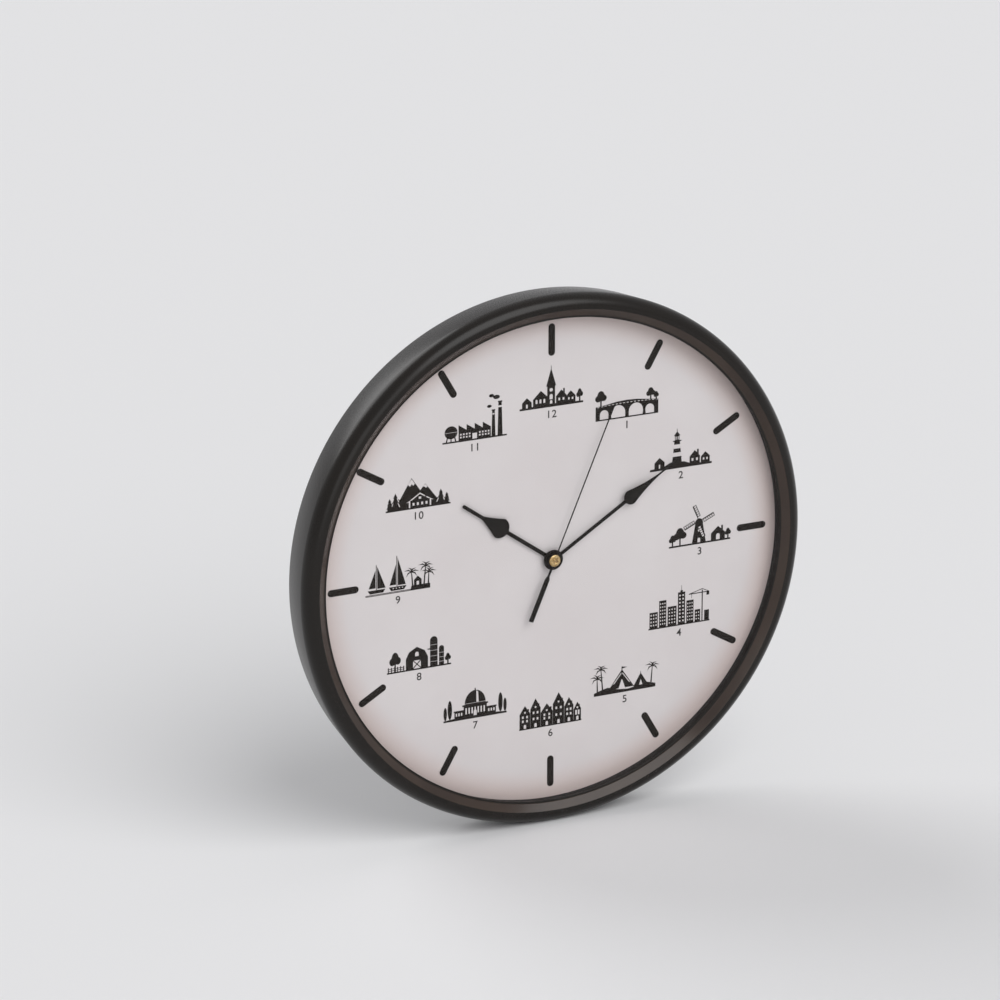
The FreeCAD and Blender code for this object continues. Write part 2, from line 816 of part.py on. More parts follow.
def setting_knob():
    high = movement_from_wall - knob_gap
    low = high - knob_thickness
    rim = disc(knob_radius, low, high, knob_axis)
    notch = disc(knob_notch_radius, low - overrun, high + overrun, polar(knob_radius, 0.0, knob_axis))
    for number in range(knob_notch_count):
        rim = rim.cut(spun(notch, full_turn * number / knob_notch_count, knob_axis))
    tooth_angle = meshed(motion_wheel_teeth, motion_tooth_angle, knob_pinion_teeth, knob_angle)
    leaves = pinion(knob_pinion_teeth, motion_module, knob_pinion_low, knob_pinion_high,
                    knob_axis, tooth_angle)
    collar = disc(knob_collar_radius, high, high + knob_collar_length, knob_axis)
    stem = disc(knob_stem_radius, high, knob_pinion_high, knob_axis)
    pivot = disc(knob_pivot_radius, knob_pinion_low, knob_bearing_low + bearing_engagement, knob_axis)
    return joined([rim, collar, stem, leaves, pivot])


# Stepping motor

def stator():
    x, y = rotor_axis
    left = x - stator_half_span
    right = x + stator_half_span
    top = y + stator_leg_rise
    shoulder = y + stator_above
    bottom = y - stator_below
    body = plate([
        (left, top), (left, bottom), (right - stator_cut, bottom), (right, bottom + stator_cut_rise),
        (right, top), (right - stator_leg_width, top), (right - stator_leg_width, shoulder),
        (left + stator_leg_width, shoulder), (left + stator_leg_width, top),
    ], stator_low, stator_low + stator_thickness)
    return body.cut(disc(magnet_radius + stator_gap, stator_low - overrun, core_low + overrun, rotor_axis))


def core_middle():
    return (rotor_axis[1] + stator_leg_rise - core_width / 2, core_low + stator_thickness / 2)


def coil_core():
    x = rotor_axis[0]
    y, z = core_middle()
    return block(x - stator_half_span, x + stator_half_span, y - core_width / 2, y + core_width / 2,
                 z - stator_thickness / 2, z + stator_thickness / 2)


def lying(radius, left, right, y, z):
    """Cylinder along x."""
    return Part.makeCylinder(radius, right - left, FreeCAD.Vector(left, y, z), FreeCAD.Vector(1, 0, 0))


def bobbin_half_length():
    return stator_half_span - stator_leg_width - bobbin_clearance


def coil_bobbin():
    x = rotor_axis[0]
    y, z = core_middle()
    half = bobbin_half_length()
    inner = half - bobbin_flange_thickness
    barrel = lying(bobbin_barrel_radius, x - half, x + half, y, z)
    left = lying(bobbin_flange_radius, x - half, x - inner, y, z)
    right = lying(bobbin_flange_radius, x + inner, x + half, y, z)
    wide = core_width / 2 + core_clearance
    deep = stator_thickness / 2 + core_clearance
    bore = block(x - half - overrun, x + half + overrun, y - wide, y + wide, z - deep, z + deep)
    return joined([barrel, left, right]).cut(bore)


def coil_winding():
    x = rotor_axis[0]
    y, z = core_middle()
    half = bobbin_half_length() - bobbin_flange_thickness
    outer = lying(winding_radius, x - half, x + half, y, z)
    inner = lying(bobbin_barrel_radius + winding_clearance, x - half - overrun, x + half + overrun, y, z)
    return outer.cut(inner)


# Electronics

def circuit_board():
    edge = half_width - movement_wall - board_margin
    return block(-edge, edge, board_bottom, edge, cover_inner, cover_inner + board_thickness)


def driver_chip():
    low = cover_inner + board_thickness
    ball_radius = (chip_radius ** 2 + chip_height ** 2) / (2 * chip_height)
    middle = low + chip_height - ball_radius
    ball = Part.makeSphere(ball_radius, FreeCAD.Vector(chip_x, component_y, middle))
    half = chip_radius + overrun
    room = block(chip_x - half, chip_x + half, component_y - half, component_y + half,
                 low, low + chip_height + overrun)
    return ball.common(room)


def quartz_crystal():
    z = cover_inner + board_thickness + crystal_radius
    return lying(crystal_radius, crystal_x, crystal_x + crystal_length, component_y, z)


# Battery and contacts
bay_middle = -(half_width - movement_wall + divider_top + divider_thickness) / 2
cell_depth = case_inner - cell_front_gap - cell_radius
contact_face = half_width - movement_wall - contact_thickness
cell_right = contact_face - cell_nub_gap - nub_length
cell_left = cell_right - cell_length


def aa_cell():
    return lying(cell_radius, cell_left, cell_right - cell_cap_thickness, bay_middle, cell_depth)


def aa_cell_cap():
    flat = lying(cell_radius - cell_cap_thickness, cell_right - cell_cap_thickness, cell_right,
                 bay_middle, cell_depth)
    nub = lying(nub_radius, cell_right, cell_right + nub_length, bay_middle, cell_depth)
    return flat.fuse(nub)


def contact_tail(side):
    """Strip along the side wall, and its tab on the board."""
    near = side * contact_face
    far = side * (contact_face + contact_thickness)
    low = cover_inner + board_thickness
    strip = block(min(near, far), max(near, far), bay_middle, contact_tail_rise,
                  low, low + contact_tail_width)
    inner = side * (contact_face - contact_tab_length)
    tab = block(min(inner, far), max(inner, far), contact_tail_rise - contact_tab_height, contact_tail_rise,
                low, low + contact_thickness)
    return [strip, tab]


def contact_positive():
    low = cover_inner + contact_from_cover - board_thickness
    bottom = -half_width + movement_wall + contact_margin
    top = -divider_top - divider_thickness - contact_margin / 2
    pad = block(contact_face, contact_face + contact_thickness, bottom, top, low, low + contact_width)
    return joined([pad] + contact_tail(1))


def contact_negative():
    low = cover_inner + contact_from_cover - board_thickness
    bottom = -half_width + movement_wall + contact_margin
    top = -divider_top - divider_thickness - contact_margin / 2
    back = -contact_face - contact_thickness
    pad = block(back, -contact_face, bottom, top, low, low + contact_width)
    root = -contact_face - contact_thickness / 2
    tip = root + contact_thickness
    leaf_bulge = cell_leaf_room - contact_thickness / 2 - leaf_gap
    leaf = shaped([
        arc((root, bottom), (root + leaf_bulge, bay_middle), (root, top)),
        line((root, top), (tip, top)),
        arc((tip, top), (tip + leaf_bulge, bay_middle), (tip, bottom)),
        line((tip, bottom), (root, bottom)),
    ], low, low + contact_width)
    return joined([pad, leaf] + contact_tail(-1))


# Hands, drawn towards twelve o'clock and then turned to the time shown

def bulge(length, radius, place_share, neck_share, neck_width, flank_width_share, flank_place_share,
          low, high):
    """Drop with its round end towards the hub and hollow flanks towards the tip."""
    place = length * place_share
    neck = length * neck_share
    flank = length * flank_place_share
    wide = radius * flank_width_share
    half = neck_width / 2
    return shaped([
        arc((radius, place), (0.0, place - radius), (-radius, place)),
        arc((-radius, place), (-wide, flank), (-half, neck)),
        line((-half, neck), (half, neck)),
        arc((half, neck), (wide, flank), (radius, place)),
    ], low, high)


def rod(width, start, end, low, high):
    return block(-width / 2, width / 2, start, end, low, high)


def rounded_rod(width, start, end, low, high):
    half = width / 2
    straight = rod(width, start, end - half, low, high)
    return straight.fuse(disc(half, low, high, (0.0, end - half)))


def hour_hand():
    low, high = hour_hand_low, hour_hand_high
    place = hour_hand_length * hour_bulge_place_share
    neck = hour_hand_length * hour_neck_place_share
    body = joined([
        disc(hour_hub_radius, low, high),
        disc(hour_pipe_radius + hand_collar_width, low - hand_collar_height, low),
        rod(hour_rod_width, 0.0, place, low, high),
        bulge(hour_hand_length, hour_bulge_radius, hour_bulge_place_share, hour_neck_place_share,
              hour_tip_width, hour_flank_width_share, hour_flank_place_share, low, high),
        rounded_rod(hour_tip_width, neck - hour_tip_width, hour_hand_length, low, high),
    ])
    body = body.cut(disc(hour_pipe_radius + press_clearance, low - overrun, high + overrun))
    return spun(body, -hour_hand_angle)


def minute_hand():
    low, high = minute_hand_low, minute_hand_high
    place = minute_hand_length * minute_bulge_place_share
    neck = minute_hand_length * minute_neck_place_share
    body = joined([
        disc(minute_hub_radius, low, high),
        disc(cannon_radius + hand_collar_width, low - hand_collar_height, low),
        rod(minute_rod_width, 0.0, place, low, high),
        bulge(minute_hand_length, minute_bulge_radius, minute_bulge_place_share, minute_neck_place_share,
              minute_tip_width, minute_flank_width_share, minute_flank_place_share, low, high),
        rounded_rod(minute_tip_width, neck - minute_tip_width, minute_hand_length, low, high),
    ])
    body = body.cut(disc(cannon_radius + press_clearance, low - overrun, high + overrun))
    return spun(body, -minute_hand_angle)


def second_hand():
    low, high = second_hand_low, second_hand_high
    half = second_tail_width / 2
    neck = second_neck_width / 2
    tail = plate([
        (-neck, second_tail_shoulder - second_tail_start), (-half, -second_tail_start),
        (-half, -second_tail_length), (half, -second_tail_length),
        (half, -second_tail_start), (neck, second_tail_shoulder - second_tail_start),
    ], low, high)
    body = joined([
        disc(second_hub_radius, low, high),
        rounded_rod(second_rod_width, 0.0, second_hand_length, low, high),
        rod(second_neck_width, -second_tail_start, 0.0, low, high),
        tail,
    ])
    body = body.cut(disc(bush_shank_radius + press_clearance, low - overrun, high + overrun))
    return spun(body, -second_hand_angle)


def second_hand_bush():
    foot = second_hand_low - bush_shank_length
    well = bush_high - bush_well_depth
    bore = seconds_arbor_radius + press_clearance
    edge = second_hand_high + bush_height * bush_edge_share
    crown = (bush_well_radius + bush_radius) / 2
    shoulder = (crown + bush_radius) / 2
    return turned([
        (bore, foot),
        (bush_shank_radius, foot),
        (bush_shank_radius, second_hand_high),
        (bush_radius, second_hand_high),
        (bush_radius, edge),
        ((shoulder, (edge + 2 * bush_high) / 3), (crown, bush_high)),
        (bush_well_radius, bush_high - bush_height * bush_edge_share / 2),
        (bush_well_radius, well),
        (bore, well),
    ])


pieces = (
    bezel_ring, lens, spacer_ring, dial_plate, hour_marks,
    back_shell, case_screws, hanger_plate, hanger_screws,
    movement_case, movement_cover, circuit_board, driver_chip, quartz_crystal,
    stator, coil_core, coil_bobbin, coil_winding, rotor_magnet, rotor_pinion,
    intermediate_wheel, seconds_wheel, third_wheel, centre_wheel, cannon_pinion, motion_wheel, hour_wheel,
    setting_knob, contact_positive, contact_negative, aa_cell, aa_cell_cap,
    hour_hand, minute_hand, second_hand, second_hand_bush,
)

os.makedirs("parts", exist_ok=True)
for piece in pieces:
    shape = piece()
    save(piece.__name__, shape)
    print(piece.__name__, len(shape.Solids), round(shape.Volume, 2), shape.isValid())
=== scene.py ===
import bpy
import bmesh
import json
import math
from mathutils import Matrix, Vector
from mathutils.geometry import delaunay_2d_cdt


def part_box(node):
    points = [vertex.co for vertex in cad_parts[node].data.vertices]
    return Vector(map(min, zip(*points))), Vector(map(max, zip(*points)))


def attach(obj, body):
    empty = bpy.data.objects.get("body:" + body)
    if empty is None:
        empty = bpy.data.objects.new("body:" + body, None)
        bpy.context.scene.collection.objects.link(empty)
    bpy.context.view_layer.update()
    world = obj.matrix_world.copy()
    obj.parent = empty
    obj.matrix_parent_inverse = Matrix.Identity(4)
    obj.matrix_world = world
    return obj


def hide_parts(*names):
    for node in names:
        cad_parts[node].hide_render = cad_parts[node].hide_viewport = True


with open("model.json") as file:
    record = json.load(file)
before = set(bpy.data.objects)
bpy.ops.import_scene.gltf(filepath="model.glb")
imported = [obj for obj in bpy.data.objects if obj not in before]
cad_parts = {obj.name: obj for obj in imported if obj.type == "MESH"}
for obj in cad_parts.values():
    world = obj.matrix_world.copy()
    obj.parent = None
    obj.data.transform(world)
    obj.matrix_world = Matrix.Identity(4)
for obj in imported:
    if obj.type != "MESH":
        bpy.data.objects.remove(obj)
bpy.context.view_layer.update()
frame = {"nodes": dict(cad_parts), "record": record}

# Wall clock with a black moulded ring, a pale printed dial and a battery movement.
# Metres. The dial faces -Y, twelve o'clock is at +Z, and the hands' axis is Y.
# Flat shapes are drawn as seen from the front, in millimetres: x right, y up, z out of the wall.

mm = 0.001
nodes = frame["nodes"]


def outOfWall(node, face):          # distance of a node's rear (0) or front (1) face from the wall, in mm
    low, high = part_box(node)
    return -(high.y if face == 0 else low.y) / mm


def place(point):                   # drawing point to the clock's own frame
    return Vector((point[0] * mm, -point[2] * mm, point[1] * mm))


dialFront = outOfWall("dial_plate", 1)
lensRear = outOfWall("lens", 0)
lensFront = outOfWall("lens", 1)
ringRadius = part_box("bezel_ring")[1].x / mm
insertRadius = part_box("lens")[1].x / mm


# Materials

def linear(hexColour):              # sRGB hex to Blender's linear colour
    parts = [int(hexColour[i:i + 2], 16) / 255 for i in (0, 2, 4)]
    return tuple(c / 12.92 if c <= 0.04045 else ((c + 0.055) / 1.055) ** 2.4 for c in parts) + (1.0,)


def add(tree, kind, settings=None, **inputs):   # one node, with its settings, and its inputs as values or links
    node = tree.nodes.new(kind)
    for name, value in (settings or {}).items():
        setattr(node, name, value)
    for name, value in inputs.items():
        key = int(name[1:]) if name[0] == "_" and name[1:].isdigit() else name.replace("_", " ")
        socket = node.inputs[key]
        if isinstance(value, bpy.types.NodeSocket):
            tree.links.new(value, socket)
        else:
            socket.default_value = value
    return node


def newMaterial(name):              # with its tree, and the piece's own coordinates in millimetres
    material = bpy.data.materials.new(name)
    material.use_nodes = True
    tree = material.node_tree
    tree.nodes.clear()
    where = add(tree, "ShaderNodeTexCoord")
    point = add(tree, "ShaderNodeVectorMath", {"operation": "SCALE"}, _0=where.outputs["Object"], Scale=1 / mm)
    return material, tree, point.outputs[0]


def axisDistance(tree, point):      # how far a point is from the hands' axis
    inPlane = add(tree, "ShaderNodeVectorMath", {"operation": "MULTIPLY"}, _0=point, _1=(1.0, 0.0, 1.0))
    return add(tree, "ShaderNodeVectorMath", {"operation": "LENGTH"}, _0=inPlane.outputs[0]).outputs["Value"]


def ridges(tree, distance, pitch):  # waves from -1 to 1, one each pitch
    turns = add(tree, "ShaderNodeMath", {"operation": "MULTIPLY"}, _0=distance, _1=2 * math.pi / pitch)
    return add(tree, "ShaderNodeMath", {"operation": "SINE"}, _0=turns.outputs[0]).outputs[0]


middle = {"From_Min": 0.3, "From_Max": 0.7}     # most of a noise lies between these


def surface(name, light, dark, gloss, tint, grain, depth=0.0, streak=None, rings=0.0, zone=None, **shader):
    # The colour drifts between two hexes with the tint's noise. The roughness and the relief follow the grain's.
    # A noise is its size in mm, its detail and its roughness. Rings round the hands' axis, with their pitch, may be
    # the relief instead, and a zone round that axis may have colours and a gloss of its own.
    material, tree, point = newMaterial(name)
    along = add(tree, "ShaderNodeMapping", Vector=point, Scale=streak).outputs[0] if streak else point
    cloud, texture = [
        add(tree, "ShaderNodeTexNoise", Vector=where, Scale=1 / size, Detail=detail, Roughness=roughness).outputs["Fac"]
        for where, (size, detail, roughness) in ((point, tint), (along, grain))]
    drift = add(tree, "ShaderNodeMapRange", Value=cloud, **middle).outputs[0]
    colours, finish = [], []
    for look in [{"light": light, "dark": dark, "gloss": gloss}] + ([zone] if zone else []):
        colours.append(add(tree, "ShaderNodeMix", {"data_type": "RGBA"}, _0=drift, _6=linear(look["dark"]),
                           _7=linear(look["light"])).outputs[2])
        finish.append(add(tree, "ShaderNodeMapRange", Value=texture, To_Min=look["gloss"][0],
                          To_Max=look["gloss"][1], **middle).outputs[0])
    shader.update(Base_Color=colours[0], Roughness=finish[0])
    if zone:
        away = axisDistance(tree, point)
        begun = add(tree, "ShaderNodeMapRange", Value=away, From_Min=zone["begins"][0], From_Max=zone["begins"][1])
        unended = add(tree, "ShaderNodeMapRange", Value=away, From_Min=zone["ends"][0], From_Max=zone["ends"][1],
                      To_Min=1.0, To_Max=0.0)
        inside = add(tree, "ShaderNodeMath", {"operation": "MULTIPLY"}, _0=begun.outputs[0], _1=unended.outputs[0])
        shader["Base_Color"] = add(tree, "ShaderNodeMix", {"data_type": "RGBA"}, _0=inside.outputs[0], _6=colours[0],
                                   _7=colours[1]).outputs[2]
        shader["Roughness"] = add(tree, "ShaderNodeMix", {"data_type": "FLOAT"}, _0=inside.outputs[0], _2=finish[0],
                                  _3=finish[1]).outputs[0]
    if depth:
        height = ridges(tree, axisDistance(tree, point), rings) if rings else texture
        shader["Normal"] = add(tree, "ShaderNodeBump", Height=height, Distance=depth * mm).outputs[0]
    made = add(tree, "ShaderNodeBsdfPrincipled", **shader)
    add(tree, "ShaderNodeOutputMaterial", Surface=made.outputs[0])
    return material


def mouldedPlastic(name, light, dark, roughness, grain, depth, **more):
    # Injection-moulded styrene or ABS: an even body colour, faint flow clouding, and the mould's fine spark texture.
    return surface(name, light, dark, (roughness - 0.05, roughness + 0.06), (28.0, 4.0, 0.5), (grain, 2.0, 0.65), depth,
                   IOR=1.53, **more)


def platedSteel(name, light, dark, roughness, streak=None):
    # Zinc or nickel plate on steel: bright grey metal, with rolled or tumbled streaks that break the highlight.
    return surface(name, light, dark, (roughness - 0.06, roughness + 0.1), (4.0, 3.0, 0.5), (0.35, 4.0, 0.6), 0.004,
                   streak, Metallic=1.0)


def printingInk(name, light, dark):
    # Flat black offset ink: a little thin where the card's fibres show through, and duller than the card.
    return surface(name, light, dark, (0.5, 0.62), (0.6, 4.0, 0.6), (0.6, 4.0, 0.6), 0.004, IOR=1.45,
                   Specular_IOR_Level=0.15)


acrylic = {"colour": "fdfefe", "roughness": 0.02, "mirror": 0.12, "wave": 60.0, "waveDepth": 0.01}      # sizes in mm


def clearAcrylic(a):
    # Cast acrylic pane: clear, with a faint mirror of the room. Lamps shine straight through to the dial.
    material, tree, point = newMaterial("Lens clear acrylic")
    wave = add(tree, "ShaderNodeTexNoise", Vector=point, Scale=1 / a["wave"], Detail=1.0)
    relief = add(tree, "ShaderNodeBump", Height=wave.outputs["Fac"], Distance=a["waveDepth"] * mm)
    pane = add(tree, "ShaderNodeBsdfPrincipled", Base_Color=linear(a["colour"]), Roughness=a["roughness"], IOR=1.49,
               Specular_Tint=(a["mirror"],) * 3 + (1.0,), Transmission_Weight=1.0, Normal=relief.outputs[0])
    clear = add(tree, "ShaderNodeBsdfTransparent", Color=linear("ffffff"))
    rays = add(tree, "ShaderNodeLightPath").outputs
    mirrored = add(tree, "ShaderNodeMath", {"operation": "SUBTRACT", "use_clamp": True}, _0=rays["Is Glossy Ray"],
                   _1=rays["Is Transmission Ray"])
    lit = add(tree, "ShaderNodeMath", {"operation": "MAXIMUM"}, _0=rays["Is Shadow Ray"], _1=rays["Is Diffuse Ray"])
    through = add(tree, "ShaderNodeMath", {"operation": "MAXIMUM"}, _0=lit.outputs[0], _1=mirrored.outputs[0])
    both = add(tree, "ShaderNodeMixShader", _0=through.outputs[0], _1=pane.outputs[0], _2=clear.outputs[0])
    add(tree, "ShaderNodeOutputMaterial", Surface=both.outputs[0])
    return material


winding = {"pitch": 0.2, "depth": 0.05, "patch": 1.2, "light": "b8602c", "dark": "6e2c10", "gloss": (0.28, 0.42)}


def woundCopper(w):
    # Enamelled wire, wound in tight layers: one ridge each 0.2 mm, coarser than the real 0.05 mm so that it shows.
    material, tree, point = newMaterial("Winding enamelled copper")
    ridge = ridges(tree, add(tree, "ShaderNodeSeparateXYZ", Vector=point).outputs["X"], w["pitch"])
    height = add(tree, "ShaderNodeMapRange", Value=ridge, From_Min=-1.0)
    # The colour follows the ridges: a painted highlight on each crest and painted shade in the grooves between turns.
    colour = add(tree, "ShaderNodeMix", {"data_type": "RGBA"}, _0=height.outputs[0], _6=linear(w["dark"]),
                 _7=linear(w["light"]))
    patch = add(tree, "ShaderNodeTexNoise", Vector=point, Scale=1 / w["patch"], Detail=3.0)
    gloss = add(tree, "ShaderNodeMapRange", Value=patch.outputs["Fac"], To_Min=w["gloss"][0], To_Max=w["gloss"][1],
                **middle)
    relief = add(tree, "ShaderNodeBump", Height=ridge, Distance=w["depth"] * mm)
    wire = add(tree, "ShaderNodeBsdfPrincipled", Base_Color=colour.outputs[2], Metallic=1.0, Roughness=gloss.outputs[0],
               Normal=relief.outputs[0])
    add(tree, "ShaderNodeOutputMaterial", Surface=wire.outputs[0])
    return material


film = {
    "band": 13.0, "edge": 0.05, "patch": 6.0, "wave": 2.5, "waveDepth": 0.01, "colour": "3a4048",
    "bandColour": "a9adb0", "gloss": (0.2, 0.3),
}


def cellJacket(f):
    # Printed shrink film on an AA cell: slate grey with a paler band at the positive end, glossy, without lettering.
    material, tree, point = newMaterial("Cell printed film")
    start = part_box("aa_cell")[1].x / mm - f["band"]
    across = add(tree, "ShaderNodeSeparateXYZ", Vector=point).outputs["X"]
    band = add(tree, "ShaderNodeMapRange", Value=across, From_Min=start - f["edge"], From_Max=start + f["edge"])
    colour = add(tree, "ShaderNodeMix", {"data_type": "RGBA"}, _0=band.outputs[0], _6=linear(f["colour"]),
                 _7=linear(f["bandColour"]))
    patch, wave = [add(tree, "ShaderNodeTexNoise", Vector=point, Scale=1 / f[size], Detail=3.0).outputs["Fac"]
                   for size in ("patch", "wave")]
    gloss = add(tree, "ShaderNodeMapRange", Value=patch, To_Min=f["gloss"][0], To_Max=f["gloss"][1], **middle)
    relief = add(tree, "ShaderNodeBump", Height=wave, Distance=f["waveDepth"] * mm)
    jacket = add(tree, "ShaderNodeBsdfPrincipled", Base_Color=colour.outputs[2], Roughness=gloss.outputs[0], IOR=1.55,
                 Normal=relief.outputs[0])
    add(tree, "ShaderNodeOutputMaterial", Surface=jacket.outputs[0])
    return material


slopePaintedReflection = {     # the slope beside the dial, from the lip to just inside the ridge: a painted reflection, lighter and warmer, on a glossier finish
    "begins": (138.0, 138.4), "ends": (142.0, 142.4), "light": "41362f", "dark": "372d28", "gloss": (0.14, 0.22),
}
rimPaintedShade = {         # towards its rim the dial is painted darker and warmer, a painted shade from the ring, which ends past the card
    "begins": (122.0, 135.0), "ends": (150.0, 151.0), "light": "d4c4c0", "dark": "d4c4c0", "gloss": (0.56, 0.68),
}

finishes = {        # named for the slots of the record
    # The ring's styrene is satin, and a touch brown, as such styrene is. Its slope beside the dial has a painted
    # reflection: a lighter, browner colour.
    "case_black": mouldedPlastic("Ring satin styrene, painted slope reflection", "17120d", "130f0b", 0.26, 0.35, 0.002, zone=slopePaintedReflection,
                                 Specular_IOR_Level=0.28),
    "spacer_black": mouldedPlastic("Spacer matt styrene", "161413", "121110", 0.62, 0.3, 0.006, Specular_IOR_Level=0.3),
    "clear_lens": clearAcrylic(acrylic),
    # Coated card, printed pale warm grey: paper mottle a few tenths of a millimetre wide, and a dull sheen.
    # Towards its rim the card is painted darker and warmer: painted shade from the ring.
    "dial_card": surface("Dial printed card, painted rim shade", "dbd5d5", "d7d0d0", (0.56, 0.68), (45.0, 3.0, 0.5), (0.5, 4.0, 0.6),
                         0.006, zone=rimPaintedShade, IOR=1.45),
    "dial_ink": printingInk("Dial black ink", "221c18", "1a1512"),
    "shell_black": mouldedPlastic("Rear pan textured styrene", "242323", "1d1c1c", 0.46, 0.7, 0.03,
                                  Specular_IOR_Level=0.45),
    "screw_steel": platedSteel("Screws zinc plate", "b9b6ae", "8f8e88", 0.34),
    "hanger_steel": platedSteel("Hanger rolled zinc plate", "b6b7b6", "a9abad", 0.32, (0.15, 1.0, 1.0)),
    "movement_black": mouldedPlastic("Movement housing styrene", "1c1c1d", "161617", 0.34, 0.45, 0.012),
    # Solder mask, epoxy and ferrite have as even and fine a skin as moulded plastic.
    "board_green": mouldedPlastic("Board solder mask", "1e6a3c", "1a5e36", 0.3, 0.8, 0.006, Coat_Weight=0.4,
                                  Coat_Roughness=0.25),
    "chip_epoxy": mouldedPlastic("Chip epoxy drop", "101011", "0c0c0d", 0.16, 3.0, 0.02),
    "crystal_can": platedSteel("Crystal nickel can", "c8c3ba", "aaa69c", 0.26),
    "lamination_steel": platedSteel("Stator rolled lamination", "8b8c8f", "6e6f73", 0.38, (1.0, 1.0, 0.12)),
    "bobbin_white": mouldedPlastic("Bobbin natural nylon", "d9d4c2", "cfc9b5", 0.42, 0.6, 0.006),
    "copper_wire": woundCopper(winding),
    "magnet_grey": mouldedPlastic("Magnet sintered ferrite", "35363a", "2a2b2e", 0.6, 0.25, 0.02),
    # Uncoloured acetal gears: milky white, waxy, with light that enters a little way.
    "gear_white": surface("Gears natural acetal", "efece3", "e4e1d6", (0.34, 0.44), (3.0, 3.0, 0.5), (3.0, 3.0, 0.5),
                          IOR=1.48, Subsurface_Weight=0.15, Subsurface_Scale=0.6 * mm),
    # Brass turned on a lathe: rings round the axis, 0.12 mm apart, so the highlight spreads across them.
    "turned_brass": surface("Turned brass", "e2cb9a", "a9844c", (0.24, 0.34), (1.6, 3.0, 0.5), (1.6, 3.0, 0.5), 0.003,
                            rings=0.12, Metallic=1.0),
    "knob_grey": mouldedPlastic("Knob grey acetal", "4c4d50", "434447", 0.4, 0.5, 0.01),
    "contact_nickel": platedSteel("Contacts nickel plate", "c9c5bb", "aba79d", 0.28, (0.2, 1.0, 1.0)),
    "cell_jacket": cellJacket(film),
    "cell_cap": platedSteel("Cell nickel cap", "cbc8c0", "b0ada4", 0.24),
    # Stamped sheet with baked black lacquer: slight orange peel, dull enough to show only soft highlights.
    "hand_black": surface("Hands black lacquer", "18130f", "120e0b", (0.36, 0.46), (0.9, 2.0, 0.5), (0.9, 2.0, 0.5),
                          0.008, IOR=1.5, Specular_IOR_Level=0.16),
}
labelInk = printingInk("Dial grey ink", "474342", "3e3a39")
print("finishes made:", len(finishes) + 1)

slotOf = {part["node"]: part["material_slot"] for part in frame["record"]["subparts"]}
for name, piece in nodes.items():
    piece.data.materials.clear()
    piece.data.materials.append(finishes[slotOf[name]])


# Shared shapes

def linked(name, data):             # a new object in the scene
    thing = bpy.data.objects.new(name, data)
    bpy.context.scene.collection.objects.link(thing)
    return thing


def plainMesh(holder):              # the holder's evaluated mesh, and the holder is gone
    mesh = bpy.data.meshes.new_from_object(holder.evaluated_get(bpy.context.evaluated_depsgraph_get()))
    bpy.data.objects.remove(holder)
    return mesh


def addPiece(name, mesh, body, slotName, replaced=(), material=None):   # a finished mesh becomes a riding piece
    piece = linked(name, mesh)
    mesh.name = name
    mesh.materials.clear()
    mesh.materials.append(material or finishes[slotName])
    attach(piece, body)
    if replaced:
        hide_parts(*replaced)


weld = 1e-7         # corners closer than this, in metres, are one


def meshFrom(shape, sharpAngle=35.0):   # bmesh to a smooth mesh with hard edges past an angle
    bmesh.ops.remove_doubles(shape, verts=shape.verts, dist=weld)
    bmesh.ops.recalc_face_normals(shape, faces=shape.faces)
    limit = math.radians(sharpAngle)
    for face in shape.faces:
        face.smooth = True
    for edge in shape.edges:
        edge.smooth = edge.is_manifold and edge.calc_face_angle(0.0) < limit
    mesh = bpy.data.meshes.new("shape")
    shape.to_mesh(mesh)
    shape.free()
    return mesh


def corner(before, here, after, radius, steps):     # points of a rounded corner in a profile
    a = (Vector(before) - Vector(here)).normalized()
    b = (Vector(after) - Vector(here)).normalized()
    half = a.angle(b) / 2
    reach = radius / math.tan(half)
    middlePoint = Vector(here) + (a + b).normalized() * (radius / math.sin(half))
    start = Vector(here) + a * reach - middlePoint
    end = Vector(here) + b * reach - middlePoint
    whole = start.angle(end)
    points = []
    for step in range(steps + 1):
        t = step / steps
        points.append(tuple(middlePoint + start * (math.sin((1 - t) * whole) / math.sin(whole))
                            + end * (math.sin(t * whole) / math.sin(whole))))
    return points


def rounded(profile, steps=5):      # profile of (radius, z, corner radius) points, closed
    points = []
    for index, (r, z, fillet) in enumerate(profile):
        if fillet:
            before = profile[index - 1][:2]
            after = profile[(index + 1) % len(profile)][:2]
            points += corner(before, (r, z), after, fillet, steps)
        else:
            points.append((r, z))
    return points


def spunMesh(points, steps, sharpAngle=35.0):   # closed profile of (radius, z) turned round the hands' axis
    shape = bmesh.new()
    rings = []
    for step in range(steps):
        turn = 2 * math.pi * step / steps
        rings.append([shape.verts.new(place((r * math.sin(turn), r * math.cos(turn), z))) for r, z in points])
    for step in range(steps):
        here, there = rings[step], rings[(step + 1) % steps]
        for index in range(len(points)):
            following = (index + 1) % len(points)
            if points[index][0] or points[following][0]:
                shape.faces.new([here[index], here[following], there[following], there[index]])
    return meshFrom(shape, sharpAngle)


def stackedMesh(outlines):          # closed outlines, one above the other, joined by walls and capped
    shape = bmesh.new()
    loops = [[shape.verts.new(place(point)) for point in outline] for outline in outlines]
    for lower, upper in zip(loops, loops[1:]):
        for index, start in enumerate(lower):
            after = (index + 1) % len(lower)
            shape.faces.new([start, lower[after], upper[after], upper[index]])
    shape.faces.new(loops[-1])
    shape.faces.new(loops[0][::-1])
    return meshFrom(shape)


